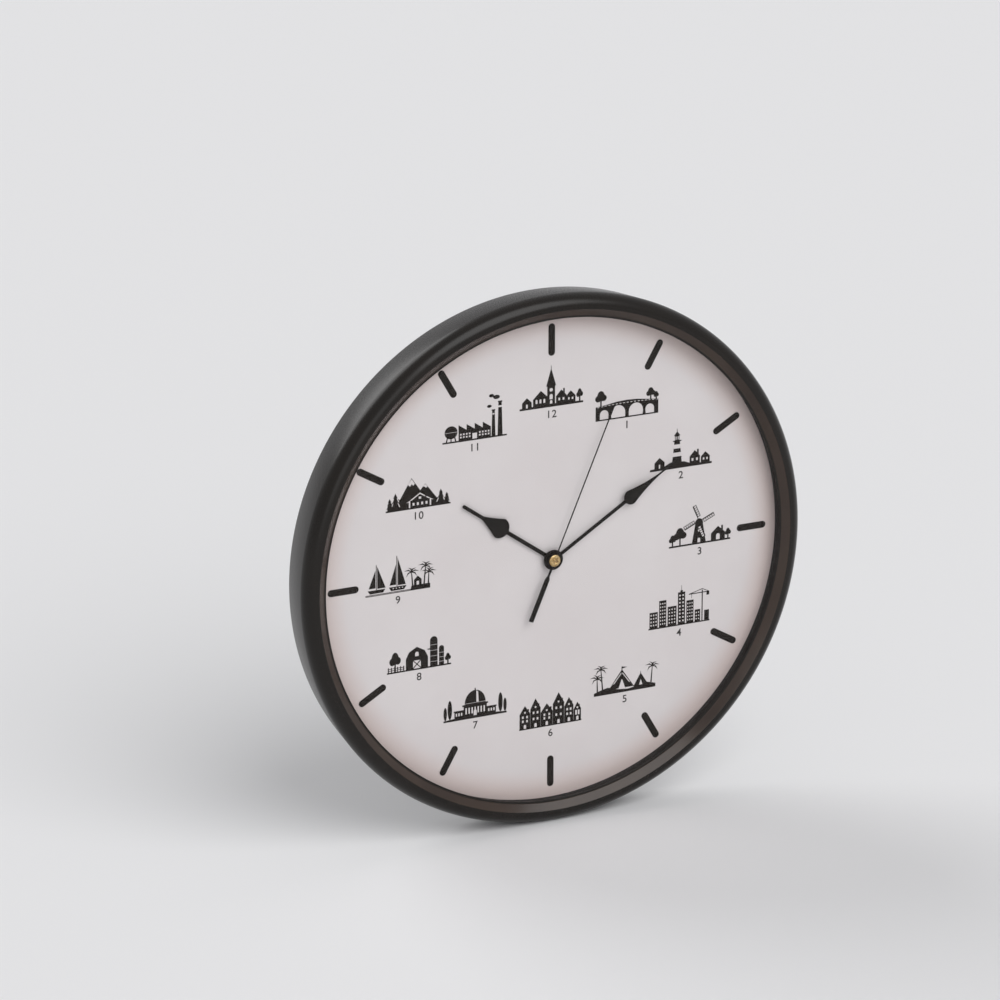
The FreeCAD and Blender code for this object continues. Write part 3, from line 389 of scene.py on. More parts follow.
def roundTree():        # Geometry Nodes: copies of a mesh, evenly turned round the hands' axis
    tree = bpy.data.node_groups.new("roundTheAxis", "GeometryNodeTree")
    for label, kind in (("Mesh", "NodeSocketGeometry"), ("Count", "NodeSocketInt"), ("First Angle", "NodeSocketFloat"),
                        ("Finish", "NodeSocketMaterial")):
        tree.interface.new_socket(label, in_out="INPUT", socket_type=kind)
    tree.interface.new_socket("Mesh", in_out="OUTPUT", socket_type="NodeSocketGeometry")
    given = add(tree, "NodeGroupInput").outputs
    spots = add(tree, "GeometryNodePoints", Count=given["Count"])
    step = add(tree, "ShaderNodeMath", {"operation": "DIVIDE"}, _0=2 * math.pi, _1=given["Count"])
    turn = add(tree, "ShaderNodeMath", {"operation": "MULTIPLY_ADD"}, _0=add(tree, "GeometryNodeInputIndex").outputs[0],
               _1=step.outputs[0], _2=given["First Angle"])
    angles = add(tree, "ShaderNodeCombineXYZ", Y=turn.outputs[0])
    copies = add(tree, "GeometryNodeInstanceOnPoints", Points=spots.outputs[0], Instance=given["Mesh"],
                 Rotation=angles.outputs[0])
    solid = add(tree, "GeometryNodeRealizeInstances", Geometry=copies.outputs[0])
    dressed = add(tree, "GeometryNodeSetMaterial", Geometry=solid.outputs[0], Material=given["Finish"])
    add(tree, "NodeGroupOutput", Mesh=dressed.outputs[0])
    return tree


roundTheAxis = roundTree()


def repeated(mesh, slotName, count, firstAngle):        # the mesh stands at twelve, degrees run clockwise
    holder = linked("one", mesh)
    modifier = holder.modifiers.new("round", "NODES")
    modifier.node_group = roundTheAxis
    sockets = {item.name: item.identifier for item in roundTheAxis.interface.items_tree if item.in_out == "INPUT"}
    modifier[sockets["Count"]] = count
    modifier[sockets["First Angle"]] = math.radians(firstAngle)
    modifier[sockets["Finish"]] = finishes[slotName]
    return plainMesh(holder)


easing = {      # metres, degrees, and the side in eased widths past which a face counts as broad
    "merge": 2e-6, "flat": 0.5, "bevelPast": 30.0, "creasePast": 12, "hardPast": 42, "broad": 6,
}


def softened(node, bevel, segments=2):      # copy of a CAD node with its flats merged and its edges eased
    e = easing
    shape = bmesh.new()
    shape.from_mesh(nodes[node].data)
    bmesh.ops.remove_doubles(shape, verts=shape.verts, dist=e["merge"])
    bmesh.ops.dissolve_limit(shape, angle_limit=math.radians(e["flat"]), verts=shape.verts, edges=shape.edges)
    mesh = bpy.data.meshes.new("merged")
    shape.to_mesh(mesh)
    shape.free()
    holder = linked("merged", mesh)
    eased = holder.modifiers.new("ease", "BEVEL")
    eased.width = bevel * mm
    eased.segments = segments
    eased.limit_method = "ANGLE"
    eased.angle_limit = math.radians(e["bevelPast"])
    result = plainMesh(holder)
    shape = bmesh.new()
    shape.from_mesh(result)
    for face in shape.faces:
        face.smooth = True
    broad = (e["broad"] * bevel * mm) ** 2
    for edge in shape.edges:        # a broad flat face keeps its own shading beside an eased edge
        angle = math.degrees(edge.calc_face_angle(0.0))
        besideFlat = angle > e["creasePast"] and max([face.calc_area() for face in edge.link_faces], default=0) > broad
        edge.smooth = angle < e["hardPast"] and not besideFlat
    shape.to_mesh(result)
    shape.free()
    return result


# Ring of the case: one profile turned round, with its lip, slope, ridge, round band and rear edge

ring = {        # the ridge's corner is drawn a little proud, so that its rounded crown ends at the ridge's height
    "lipInner": 137.0, "lipEnd": 138.5, "lipThickness": 0.9, "lipEase": 0.35, "footEase": 0.5,
    "ridgeRadius": 142.5, "ridgeFront": outOfWall("bezel_ring", 1), "ridgeEase": 0.9, "proudOut": 0.01, "proudUp": 0.12,
    "bandInset": 1.0, "bandFront": 30.6, "bandRear": 25.5, "bandSteps": 14, "bandFillet": 3.0,
    "rear": outOfWall("bezel_ring", 0), "draft": 2.5, "wall": 2.0, "rearEase": 0.5, "innerEase": 0.3,
    "seatWall": 2.0, "seatClearance": 0.3, "seatLength": 17.3, "webRun": 1.5, "webDrop": 2.0, "webEases": (1.0, 0.5),
    "turns": 360,
}


def ringProfile(r):
    lipFront = lensFront + r["lipThickness"]
    rearRadius = ringRadius - r["draft"]
    seat = insertRadius + r["seatClearance"]
    seatOuter, seatRear = seat + r["seatWall"], lensFront - r["seatLength"]
    innerTop = r["ridgeFront"] - 2 * r["wall"]
    points = rounded([
        (r["lipInner"], lensFront, 0), (r["lipInner"], lipFront, r["lipEase"]), (r["lipEnd"], lipFront, r["footEase"]),
        (r["ridgeRadius"] + r["proudOut"], r["ridgeFront"] + r["proudUp"], r["ridgeEase"]),
        (ringRadius - r["bandInset"], r["bandFront"], 0)])[:-1]
    start = points[-1]
    end = (ringRadius, r["bandRear"])
    for step in range(1, r["bandSteps"] + 1):       # the outer band, a quarter round
        t = step / r["bandSteps"] * math.pi / 2
        points.append((start[0] + (end[0] - start[0]) * math.sin(t), end[1] + (start[1] - end[1]) * math.cos(t)))
    points += rounded([
        end + (0,), (rearRadius, r["rear"], r["rearEase"]), (rearRadius - r["wall"], r["rear"], r["innerEase"]),
        (ringRadius - r["wall"], r["bandRear"], r["bandFillet"]), (seatOuter + r["webRun"], innerTop, r["webEases"][0]),
        (seatOuter, innerTop - r["webDrop"], r["webEases"][1]), (seatOuter, seatRear, r["innerEase"]),
        (seat, seatRear, r["innerEase"]), (seat, lensFront, 0)])[1:]
    return points


addPiece("ringMoulding", spunMesh(ringProfile(ring), ring["turns"]), "case", "case_black", ("bezel_ring",))

boss = {
    "radius": 3.0, "bore": 1.22, "circle": 141.7, "rear": 7.0, "front": 18.0, "boreEase": 0.2, "edgeEase": 0.3,
    "easeSteps": 2, "turns": 32, "count": 6, "firstAngle": 30.0,
}


def bossMesh(b):        # hollow post that a case screw bites into
    points = rounded([
        (b["bore"], b["rear"], b["boreEase"]), (b["radius"], b["rear"], b["edgeEase"]),
        (b["radius"], b["front"], b["edgeEase"]), (b["bore"], b["front"], b["boreEase"])], b["easeSteps"])
    mesh = spunMesh(points, b["turns"])
    mesh.transform(Matrix.Translation((0, 0, b["circle"] * mm)))
    return mesh


addPiece("ringBosses", repeated(bossMesh(boss), "case_black", boss["count"], boss["firstAngle"]), "case", "case_black")
print("ring turned")


# Front: clear pane with polished edges, spacer, and the card with what is printed on it

pane = {        # a low sharp angle shades it flat, or it would act as a magnifier
    "edgeEase": 0.25, "easeSteps": 3, "turns": 240, "sharpAngle": 10.0,
}
panePoints = rounded([
    (0, lensRear, 0), (insertRadius, lensRear, pane["edgeEase"]), (insertRadius, lensFront, pane["edgeEase"]),
    (0, lensFront, 0)], pane["easeSteps"])
addPiece("acrylicPane", spunMesh(panePoints, pane["turns"], pane["sharpAngle"]), "case", "clear_lens", ("lens",))

spacer = {"width": 2.4, "ease": 0.2, "easeSteps": 2, "turns": 240}
spacerPoints = rounded([
    (radius, height, spacer["ease"]) for radius, height in (
        (insertRadius - spacer["width"], dialFront), (insertRadius, dialFront), (insertRadius, lensRear),
        (insertRadius - spacer["width"], lensRear))], spacer["easeSteps"])
addPiece("spacerHoop", spunMesh(spacerPoints, spacer["turns"]), "case", "spacer_black", ("spacer_ring",))

mark = {
    "length": 18.0, "width": 3.9, "thickness": 0.2, "ease": 0.06, "shoulder": 0.018, "radius": 123.6, "count": 12,
    "endSteps": 12,
}


def markMesh(m):        # raised bar with round ends, its rim eased
    half, straight = m["width"] / 2, (m["length"] - m["width"]) / 2
    ends = [(end, math.pi * step / m["endSteps"] + (0 if end == 1 else math.pi))
            for end in (1, -1) for step in range(m["endSteps"] + 1)]
    return stackedMesh([
        [((half - inset) * math.cos(turn), m["radius"] + end * straight + (half - inset) * math.sin(turn),
          dialFront + rise) for end, turn in ends]
        for inset, rise in ((0, 0), (0, m["thickness"] - m["ease"]), (m["shoulder"], m["thickness"] - m["shoulder"]),
                            (m["ease"], m["thickness"]))])


addPiece("hourBars", repeated(markMesh(mark), "dial_ink", mark["count"], 0.0), "case", "dial_ink", ("hour_marks",))
print("pane, spacer and hour bars made")


# Printed scenes: each is a list of shapes, inked or left as paper, where a later one covers an earlier one.
# They stand on their own ground line, x from -18 to 18 mm and y up from 0.

def ink(*shapes):
    return [(True, shape) for shape in shapes]


def paper(*shapes):
    return [(False, shape) for shape in shapes]


def flipped(shapes):        # inked and paper shapes, left for right
    return [(inked, [(-x, y) for x, y in outline]) for inked, outline in shapes]


def box(left, right, low, high):
    return [(left, low), (right, low), (right, high), (left, high)]


def house(left, right, low, eave, top):
    return [(left, low), (right, low), (right, eave), ((left + right) / 2, top), (left, eave)]


def oval(x, y, across, up=None, steps=20):
    return [(x + across * math.cos(2 * math.pi * i / steps), y + (up or across) * math.sin(2 * math.pi * i / steps))
            for i in range(steps)]


def dome(x, low, across, up, steps=14):
    return [(x + across * math.cos(math.pi * i / steps), low + up * math.sin(math.pi * i / steps))
            for i in range(steps + 1)]


def archway(left, right, low, high):
    half = (right - left) / 2
    return [(left, low), (right, low)] + dome((left + right) / 2, high - half, half, half, 10)


def grid(left, right, low, high, columns, rows, wide, tall):    # window openings
    across, up = (right - left) / columns, (high - low) / rows
    return [box(left + across * (i + 0.5) - wide / 2, left + across * (i + 0.5) + wide / 2,
                low + up * (j + 0.5) - tall / 2, low + up * (j + 0.5) + tall / 2)
            for i in range(columns) for j in range(rows)]


def turned(shape, degrees, x, y):
    c, s = math.cos(math.radians(degrees)), math.sin(math.radians(degrees))
    return [(x + (px - x) * c - (py - y) * s, y + (px - x) * s + (py - y) * c) for px, py in shape]


def pine(x, low, wide, tall):
    h = wide / 2
    side = [(0.35, 0), (0.35, 0.14), (h, 0.14), (0.5 * h, 0.42), (0.78 * h, 0.42), (0.32 * h, 0.7), (0.55 * h, 0.7)]
    outline = side + [(0, 1)] + [(-px, py) for px, py in side[::-1]]
    return [(x + px, low + py * tall) for px, py in outline]


def leafyTree(x, low, wide, tall):
    h = wide / 2
    return ink(box(x - 0.4, x + 0.4, low, low + 0.5 * tall), oval(x, low + 0.68 * tall, 0.62 * h, 0.32 * tall),
               oval(x - 0.5 * h, low + 0.52 * tall, 0.5 * h, 0.2 * tall),
               oval(x + 0.48 * h, low + 0.56 * tall, 0.52 * h, 0.2 * tall))


def palm(x, low, tall, lean):
    top = (x + lean, low + tall)
    shapes = [[(x - 0.4, low), (x + 0.4, low), (x + lean * 0.5 + 0.32, low + tall * 0.55), (top[0] + 0.22, top[1]),
               (top[0] - 0.22, top[1]), (x + lean * 0.5 - 0.3, low + tall * 0.55)]]
    for degrees, reach in ((-28, 3.9), (12, 4.2), (52, 3.3), (112, 3.2), (158, 4.2), (208, 3.8)):
        side = 1 if math.cos(math.radians(degrees)) > 0 else -1
        leaf = [(0, -0.2), (reach * 0.45, 0.1), (reach, -0.75), (reach * 0.5, 0.78), (0, 0.3)]
        shapes.append(turned([(top[0] + px, top[1] + py * side) for px, py in leaf], degrees, *top))
    return ink(*shapes)


def sail(turn, x, y):       # one windmill sail, an arm with a slatted frame
    arm = [box(x - 0.2, x + 0.2, y, y + 9.2), box(x, x + 2.0, y + 2.4, y + 9.2)]
    slats = [box(x + 0.45, x + 1.7, y + 2.8 + 1.28 * i, y + 3.7 + 1.28 * i) for i in range(5)]
    return [(inked, turned(outline, turn, x, y)) for inked, outline in ink(*arm) + paper(*slats)]


lighthouse = (
    ink([(-18, 0), (18, 0), (18, 1.1), (6, 1.5), (2, 3.2), (-6, 3.6), (-10, 1.8), (-18, 1.1)],
        [(-5.2, 3), (0.4, 3), (-0.8, 14.6), (-4, 14.6)], box(-4.9, 0.1, 14.5, 15.1), box(-3.7, -1.1, 15.1, 17.6),
        [(-4.3, 17.6), (-0.5, 17.6), (-2.4, 20)], box(-2.55, -2.25, 19.6, 21.4), house(5, 11, 1.2, 5.2, 8.4),
        box(9.3, 10.3, 5, 8.8), house(11.6, 16.8, 1.2, 4.4, 6.9), house(-15.4, -9.6, 1.2, 4.4, 7))
    + paper([(-4.85, 6.4), (0.05, 6.4), (-0.18, 8.6), (-4.62, 8.6)],
            [(-4.4, 10.7), (-0.4, 10.7), (-0.62, 12.9), (-4.18, 12.9)],
            box(-3.3, -2.75, 15.5, 17.2), box(-2.05, -1.5, 15.5, 17.2), box(-12.9, -12.1, 1.2, 3.4),
            *grid(5.4, 10.6, 2.4, 4.6, 2, 1, 1.1, 1.5), *grid(12.2, 16.2, 2.2, 4, 2, 1, 0.9, 1.2)))

windmill = (
    ink(box(-18, 18, 0, 0.9), [(-4.6, 0.6), (3.6, 0.6), (1.7, 11.2), (-2.7, 11.2)], dome(-0.5, 11.2, 2.4, 2.8),
        house(6.6, 14.8, 0.9, 4.6, 8.2), box(12.6, 13.6, 5, 8.4))
    + leafyTree(-11.6, 0.9, 7.6, 9.4) + leafyTree(-16, 0.9, 4.2, 6) + leafyTree(16.6, 0.9, 3.6, 5.4)
    + paper(archway(-1.3, 0.3, 0.9, 3.4), oval(-0.5, 7.4, 0.65), archway(9.6, 11.8, 0.9, 4.2)))
for turn in (24, 114, 204, 294):
    windmill += sail(turn, -0.5, 12.4)

gableStreet = ink(box(-18, 18, 0, 0.7))
for left, right, eave, top in ((-17.8, -11.6, 8.6, 13.2), (-11.6, -5.6, 10.8, 16.4), (-5.6, 1.4, 8, 12.6),
                               (1.4, 8, 11.6, 17.6), (8, 13.4, 9.2, 14), (13.4, 17.8, 6.6, 10.6)):
    centre = (left + right) / 2
    gableStreet += ink(house(left, right, 0.4, eave, top), box(right - 1.7, right - 0.8, eave, eave + 2.6))
    gableStreet += paper(box(right - 0.12, right + 0.12, 0.7, min(eave, 11.2)), oval(centre, eave + 0.9, 0.55),
                         archway(centre - 0.7, centre + 0.7, 0.7, 2.9),
                         *grid(left + 0.7, right - 0.7, 3.6, eave - 0.5, 2, 2, 1, 1.35))

chalet = (
    ink([(-18, 0), (-12.4, 7.6), (-10.2, 5.8), (-3.6, 16.4), (1.2, 9.4), (4, 12.6), (10.4, 4.2), (12.6, 6), (18, 0)])
    + paper([(-5.6, 13.2), (-3.6, 16), (-1.8, 13.3), (-2.7, 12.2), (-3.5, 13.3), (-4.5, 11.9)],
            [(2.7, 11.2), (4, 12.4), (5.2, 10.9), (4.4, 10.1), (3.7, 10.9)],
            [(-5.2, 0.8), (7.2, 0.8), (7.2, 3.8), (8.6, 3.6), (1, 9), (-6.6, 3.6), (-5.2, 3.8)])
    + ink(box(-18, 18, 0, 0.8), box(-4.4, 6.4, 0.8, 4.6), [(-3.6, 4.6), (5.6, 4.6), (1, 7.5)], box(3.8, 4.8, 5.6, 8.4),
          [(-5.9, 3.9), (1, 8.2), (7.9, 3.9), (7.9, 4.7), (1, 9), (-5.9, 4.7)])
    + paper(*grid(-3.8, 5.8, 1.4, 3.6, 4, 1, 1.1, 1.5), box(0.3, 1.7, 4.9, 6.1), pine(-12.6, 0.8, 5.4, 9.6),
            pine(12.6, 0.8, 5.2, 8.6))
    + ink(pine(-12.6, 0.8, 4.4, 8.8), pine(-15.8, 0.8, 3.6, 6.4), pine(12.6, 0.8, 4.2, 7.8), pine(15.9, 0.8, 3.4, 5.6)))

towerBlocks = (
    ink(box(-18, 18, 0, 0.7), box(-17.4, -12.6, 0, 9.4), box(-11.8, -7.6, 0, 15.2), box(-6.8, -1.6, 0, 11.2),
        box(-0.8, 3.4, 0, 18.2), box(0.6, 2, 18, 19.2), box(1.2, 1.4, 19, 22), box(4.2, 8.4, 0, 13),
        box(13.2, 13.8, 0, 17.6), box(5.6, 17.6, 16, 16.5), box(16, 17.6, 14.4, 16.2), box(9.2, 12.4, 0, 7.2),
        [(5.6, 16.4), (13.5, 18.4), (17.6, 16.4), (17.6, 16.1), (13.5, 18), (5.6, 16.1)], box(7.1, 7.3, 13.8, 16.2),
        box(14.8, 17.6, 0, 6.2))
    + paper(*grid(-17.2, -12.8, 1.4, 8.8, 3, 4, 0.7, 0.9), *grid(-11.6, -7.8, 1.4, 14.4, 3, 7, 0.6, 0.8),
            *grid(-6.5, -1.9, 1.4, 10.4, 3, 5, 0.7, 0.8), *grid(-0.6, 3.2, 1.4, 17.4, 2, 8, 0.9, 0.9),
            *grid(4.4, 8.2, 1.4, 12.2, 3, 6, 0.6, 0.8), *grid(9.4, 12.2, 1.2, 6.4, 2, 3, 0.7, 0.7)))

harbour = (
    ink([(-18, 0), (18, 0), (18, 2.6), (7.6, 2.6), (7.2, 0.9), (-18, 0.9)],
        [(-15.6, 1.4), (-8.2, 1.4), (-7, 3.2), (-16.8, 3.2)], box(-12.1, -11.7, 3.2, 16.4),
        [(-11.4, 3.8), (-6.8, 3.8), (-11.4, 15.6)], [(-12.4, 4.2), (-16.2, 4.2), (-12.4, 13.6)],
        [(-3.8, 1.4), (3.4, 1.4), (4.8, 3.4), (-5, 3.4)], box(-0.7, -0.3, 3.4, 19.6),
        [(0, 4), (4.4, 4), (0, 18.6)], [(-1, 4.4), (-4.6, 4.4), (-1, 15.2)], house(9, 13.2, 2.6, 5.4, 7.4))
    + paper(box(-18, 7, 0.35, 0.55), box(10.4, 11.8, 2.6, 4.6), *grid(-3.4, 3.4, 2.2, 2.9, 4, 1, 0.7, 0.45))
    + palm(14.6, 2.6, 9.4, 0.9) + palm(8.2, 2.6, 7.2, -0.6) + palm(17, 2.6, 6, 0.3))

factory = flipped(      # its chimneys are away from the hour bar
    ink(box(-18, 18, 0, 0.8), [(-9, 0.5), (9, 0.5), (9, 9), (4.5, 6), (4.5, 9), (0, 6), (0, 9), (-4.5, 6),
                               (-4.5, 9), (-9, 6)],
        [(-15.6, 0.5), (-12.8, 0.5), (-13.3, 18.4), (-15.1, 18.4)], box(-15.4, -13, 18, 18.8),
        [(-11.6, 0.5), (-9.4, 0.5), (-9.8, 14.4), (-11.2, 14.4)], box(-11.5, -9.5, 14, 14.7), oval(13.2, 5.6, 3.6, 3.4),
        [(10.2, 0.6), (10.9, 0.6), (11.8, 4), (11.1, 4)], [(16.2, 0.6), (15.5, 0.6), (14.6, 4), (15.3, 4)],
        box(12.9, 13.5, 0.6, 3), oval(-12.2, 21, 1.9, 1.1), oval(-9.4, 22, 1.4, 0.9), oval(-8.2, 16.6, 1.3, 0.8))
    + paper(box(-15.2, -13.2, 15.4, 16.3), box(-11.1, -9.9, 12, 12.7), box(9.6, 16.8, 5.5, 5.7),
            box(-1.3, 1.3, 0.8, 3.8), *grid(-8.6, -2, 1.6, 4.6, 4, 2, 0.9, 0.9),
            *grid(2, 8.6, 1.6, 4.6, 4, 2, 0.9, 0.9)))

village = (
    ink([(-18, 0), (18, 0), (18, 1), (8, 1.4), (0, 1.7), (-8, 1.4), (-18, 1)], box(-2.4, 2, 1, 11.2),
        [(-3, 11), (2.6, 11), (-0.2, 20.4)], box(-0.35, -0.05, 20, 21.8), house(-10.4, -1.6, 1.2, 5, 9.2),
        house(2.6, 8.6, 1.2, 5.2, 8.4), house(8.2, 13.6, 1, 4.4, 7.2), box(6.6, 7.5, 6, 9),
        house(-16.6, -11.2, 1, 3.8, 6.4))
    + paper(oval(-0.2, 9, 0.95), archway(-1.1, 0.7, 4, 6.8), archway(-0.9, 0.5, 1.7, 3.6),
            *[archway(left, left + 1.1, 2.6, 4.8) for left in (-9, -6.8, -4.6)], box(-14.4, -13.4, 1, 3),
            *grid(3.2, 8, 2.4, 4.6, 2, 1, 1, 1.4), *grid(8.8, 13, 2.2, 4, 2, 1, 0.9, 1.2))
    + leafyTree(16, 1, 3.8, 6.6))

halfBridge = (
    paper(archway(1, 9.2, 0.7, 7.2), archway(10.6, 15.6, 0.7, 5.6))
    + ink([(8.9, 0), (10.9, 0), (10.5, 3), (9.3, 3)]))
bridge = (
    ink([(-18, 0), (18, 0), (18, 7.6), (12, 8.2), (6, 9.1), (0, 9.4), (-6, 9.1), (-12, 8.2), (-18, 7.6)])
    + halfBridge + flipped(halfBridge) + ink([(-1.2, 0), (1.2, 0), (0.7, 3.8), (-0.7, 3.8)])
    + paper(*[box(-17 + 2.1 * i, -15.9 + 2.1 * i, 7.85 - 0.011 * (i - 8) ** 2, 8.25 - 0.011 * (i - 8) ** 2)
              for i in range(17)])
    + leafyTree(-15, 7.4, 6.6, 8.6) + leafyTree(13.6, 7.6, 5.2, 6.6) + leafyTree(16.8, 7.2, 3, 4.6))

farm = (
    ink(box(-18, 18, 0, 0.8), [(-7.4, 0.6), (5, 0.6), (5, 6.4), (3.2, 10), (-1.2, 12.4), (-5.6, 10), (-7.4, 6.4)],
        box(6.2, 10.4, 0.6, 14.4), dome(8.3, 14.4, 2.1, 2.2), box(11.2, 14, 0.6, 9.6), dome(12.6, 9.6, 1.4, 1.5),
        box(4.8, 6.4, 9.8, 10.4), *[box(-17.4 + 1.7 * i, -16.9 + 1.7 * i, 0.6, 3.4) for i in range(6)],
        box(-17.6, -8.2, 2.5, 2.85), box(-17.6, -8.2, 1.5, 1.85))
    + paper(box(-3.6, 1.2, 0.8, 5.4), archway(-2.2, -0.2, 7.4, 9.8),
            *[box(6.2, 10.4, 3 + 3 * i, 3.2 + 3 * i) for i in range(4)],
            *[box(11.2, 14, 2.4 + 2.4 * i, 2.6 + 2.4 * i) for i in range(3)])
    + ink(*[turned(box(-1.45, -0.95, -0.1, 6.3), lean, -1.2, 3.1) for lean in (46, -46)],
          box(-3.9, -3.4, 0.6, 5.6), box(1, 1.5, 0.6, 5.6), box(-3.8, 1.4, 5.2, 5.7))
    + leafyTree(-13.4, 0.8, 6.4, 10.4) + leafyTree(16.2, 0.8, 3.4, 5.6))

dunes = (
    ink([(-18, 0), (18, 0), (18, 2), (13, 3.4), (8, 2.4), (2, 1.4), (-4, 2), (-10, 3.8), (-15, 2.6), (-18, 1.6)],
        [(-9.4, 2.4), (5.4, 2.4), (3.6, 5), (-1.4, 12.2), (-2, 12.2), (-7.4, 5)], box(-1.95, -1.45, 12, 14.2),
        [(-1.7, 14.2), (-1.7, 13), (1.4, 13.6)], [(5, 2), (13.4, 2.6), (9.6, 8.6), (9, 8.6)],
        box(9.15, 9.45, 8.4, 9.9))
    + paper([(-3.6, 2.4), (0.2, 2.4), (-1.5, 7.2), (-1.9, 7.2)], [(-7, 5), (-6.2, 5), (-1.9, 10.4), (-2.1, 10.9)],
            [(3.2, 5), (2.5, 5), (-1.5, 10.4), (-1.3, 10.9)], [(8.4, 2.4), (10.4, 2.5), (9.4, 5.6)])
    + palm(-13, 3, 11.2, -1) + palm(-16, 2.2, 7.2, -0.2) + palm(15.4, 2.8, 9, 0.7))

wing = (
    ink(box(6.4, 11.8, 1.2, 4.8), box(6.4, 12.2, 4.6, 5.3), oval(14.4, 6.4, 1.25, 5.2), oval(17, 4.6, 0.95, 3.6))
    + paper(*grid(7, 11.4, 2.2, 4.2, 3, 1, 0.8, 1.6)))
observatory = (
    ink([(-18, 0), (18, 0), (18, 0.9), (10, 1.5), (-10, 1.5), (-18, 0.9)], box(-6.6, 6.6, 1.2, 7.2),
        box(-7.3, 7.3, 7, 7.9), dome(0, 7.9, 6, 7.4), box(-0.3, 0.3, 15, 16.4)) + wing + flipped(wing)
    + paper([(0.7, 8.6), (2, 8.6), (1.7, 14.2), (0.6, 15)], *grid(-6, 6, 2.4, 6.4, 7, 1, 0.8, 3.4),
            box(-6, 6, 8.3, 8.5), archway(-0.9, 0.9, 1.5, 4.6)))

scenes = [      # from one o'clock to twelve
    bridge, lighthouse, windmill, towerBlocks, dunes, gableStreet, observatory, farm, harbour, chalet, factory, village,
]
printed = {     # in mm, and a digit's height as a share of the font's size
    "radius": 91.5, "scale": 1.06, "groundDrop": 5.5, "thickness": 0.06, "firstHour": 1, "numberHeight": 4.2,
    "numberWeight": 0.07, "numberGap": 1.9, "numberSpacing": 1.12, "digitShare": 0.70,
}
sameSpot = 1e-5     # mm, corners of the drawings closer than this are one
coveredOnly = 1     # the kind of cutting that leaves out what no shape covers
bendLimit = 1       # degrees, a bend of an ink edge up to this is taken out


def raisedPrint(flat, thickness):       # flat faces on the card become ink of some thickness
    loose = [v for v in flat.verts if not v.link_faces]
    bmesh.ops.delete(flat, geom=loose, context="VERTS")
    bmesh.ops.remove_doubles(flat, verts=flat.verts, dist=weld)
    bmesh.ops.dissolve_limit(flat, angle_limit=math.radians(bendLimit), verts=flat.verts, edges=flat.edges)
    grown = bmesh.ops.extrude_face_region(flat, geom=list(flat.faces), use_keep_orig=True)
    risen = [item for item in grown["geom"] if isinstance(item, bmesh.types.BMVert)]
    bmesh.ops.translate(flat, verts=risen, vec=(0, -thickness * mm, 0))
    bmesh.ops.recalc_face_normals(flat, faces=flat.faces)
    for edge in flat.edges:
        edge.smooth = False
    mesh = bpy.data.meshes.new("print")
    flat.to_mesh(mesh)
    flat.free()
    return mesh


def printedMesh(shapes, p):     # the inked cells of all the shapes laid over each other
    points, loops = [], []
    for _, outline in shapes:
        area = sum(a[0] * b[1] - b[0] * a[1] for a, b in zip(outline, outline[1:] + outline[:1]))
        outline = outline if area > 0 else outline[::-1]
        loops.append(list(range(len(points), len(points) + len(outline))))
        points += [Vector([c * p["scale"] for c in spot]) for spot in outline]
    spots, _, cells, _, _, sources = delaunay_2d_cdt(points, [], loops, coveredOnly, sameSpot)
    flat = bmesh.new()
    verts = [flat.verts.new(place((spot.x, spot.y, dialFront))) for spot in spots]
    for cell, source in zip(cells, sources):
        if source and shapes[max(source)][0]:
            flat.faces.new([verts[i] for i in cell])
    return raisedPrint(flat, p["thickness"])


def numberMesh(number, p):      # a plain upright number, centred under its scene
    curve = bpy.data.curves.new("number", "FONT")
    curve.body = str(number)
    curve.size = p["numberHeight"] / p["digitShare"]
    curve.align_x = "CENTER"
    curve.space_character = p["numberSpacing"]
    curve.offset = p["numberWeight"]
    flat = bmesh.new()
    flat.from_mesh(plainMesh(linked("number", curve)))
    for vertex in flat.verts:
        vertex.co = place((vertex.co.x, vertex.co.y, dialFront))
    return raisedPrint(flat, p["thickness"])


def addPrint(p):
    for hour, shapes in enumerate(scenes, p["firstHour"]):
        turn = math.radians(360 / len(scenes) * hour)
        x, ground = p["radius"] * math.sin(turn), p["radius"] * math.cos(turn) - p["groundDrop"]
        drawing, number = printedMesh(shapes, p), numberMesh(hour, p)
        drawing.transform(Matrix.Translation((x * mm, 0, ground * mm)))
        number.transform(Matrix.Translation((x * mm, 0, (ground - p["numberGap"] - p["numberHeight"]) * mm)))
        addPiece("printedScene%02d" % hour, drawing, "case", "dial_ink")
        addPiece("printedNumber%02d" % hour, number, "case", "dial_ink", (), labelInk)


addPrint(printed)
print("dial printed:", len(scenes), "scenes")


# Hands: stamped blades with eased edges, and the second hand's turned bush with the arbor's tip in its well

handEase = {"hour_hand": 0.12, "minute_hand": 0.12, "second_hand": 0.07}
for node, ease in handEase.items():
    addPiece(node.replace("_hand", "Blade"), softened(node, ease), node.replace("_hand", "_train"), "hand_black",
             (node,))

bush = {
    "radius": 3.3, "rim": 0.3, "crown": 2.55, "well": 1.4, "lead": 0.3, "wellDepth": 0.95, "shank": 1.6,
    "shankLength": 0.7, "bore": 0.75, "smallEase": 0.1, "seatEase": 0.08, "rimEase": 0.2, "crownEase": 0.35,
    "turns": 96,
}
tip = {"radius": 0.78, "foot": 0.02, "rise": 0.8, "crown": 0.08, "ease": 0.2, "easeSteps": 4, "turns": 48}
bushFront = outOfWall("second_hand_bush", 1)
bladeFront = outOfWall("second_hand", 1)
wellFloor = bushFront - bush["wellDepth"]


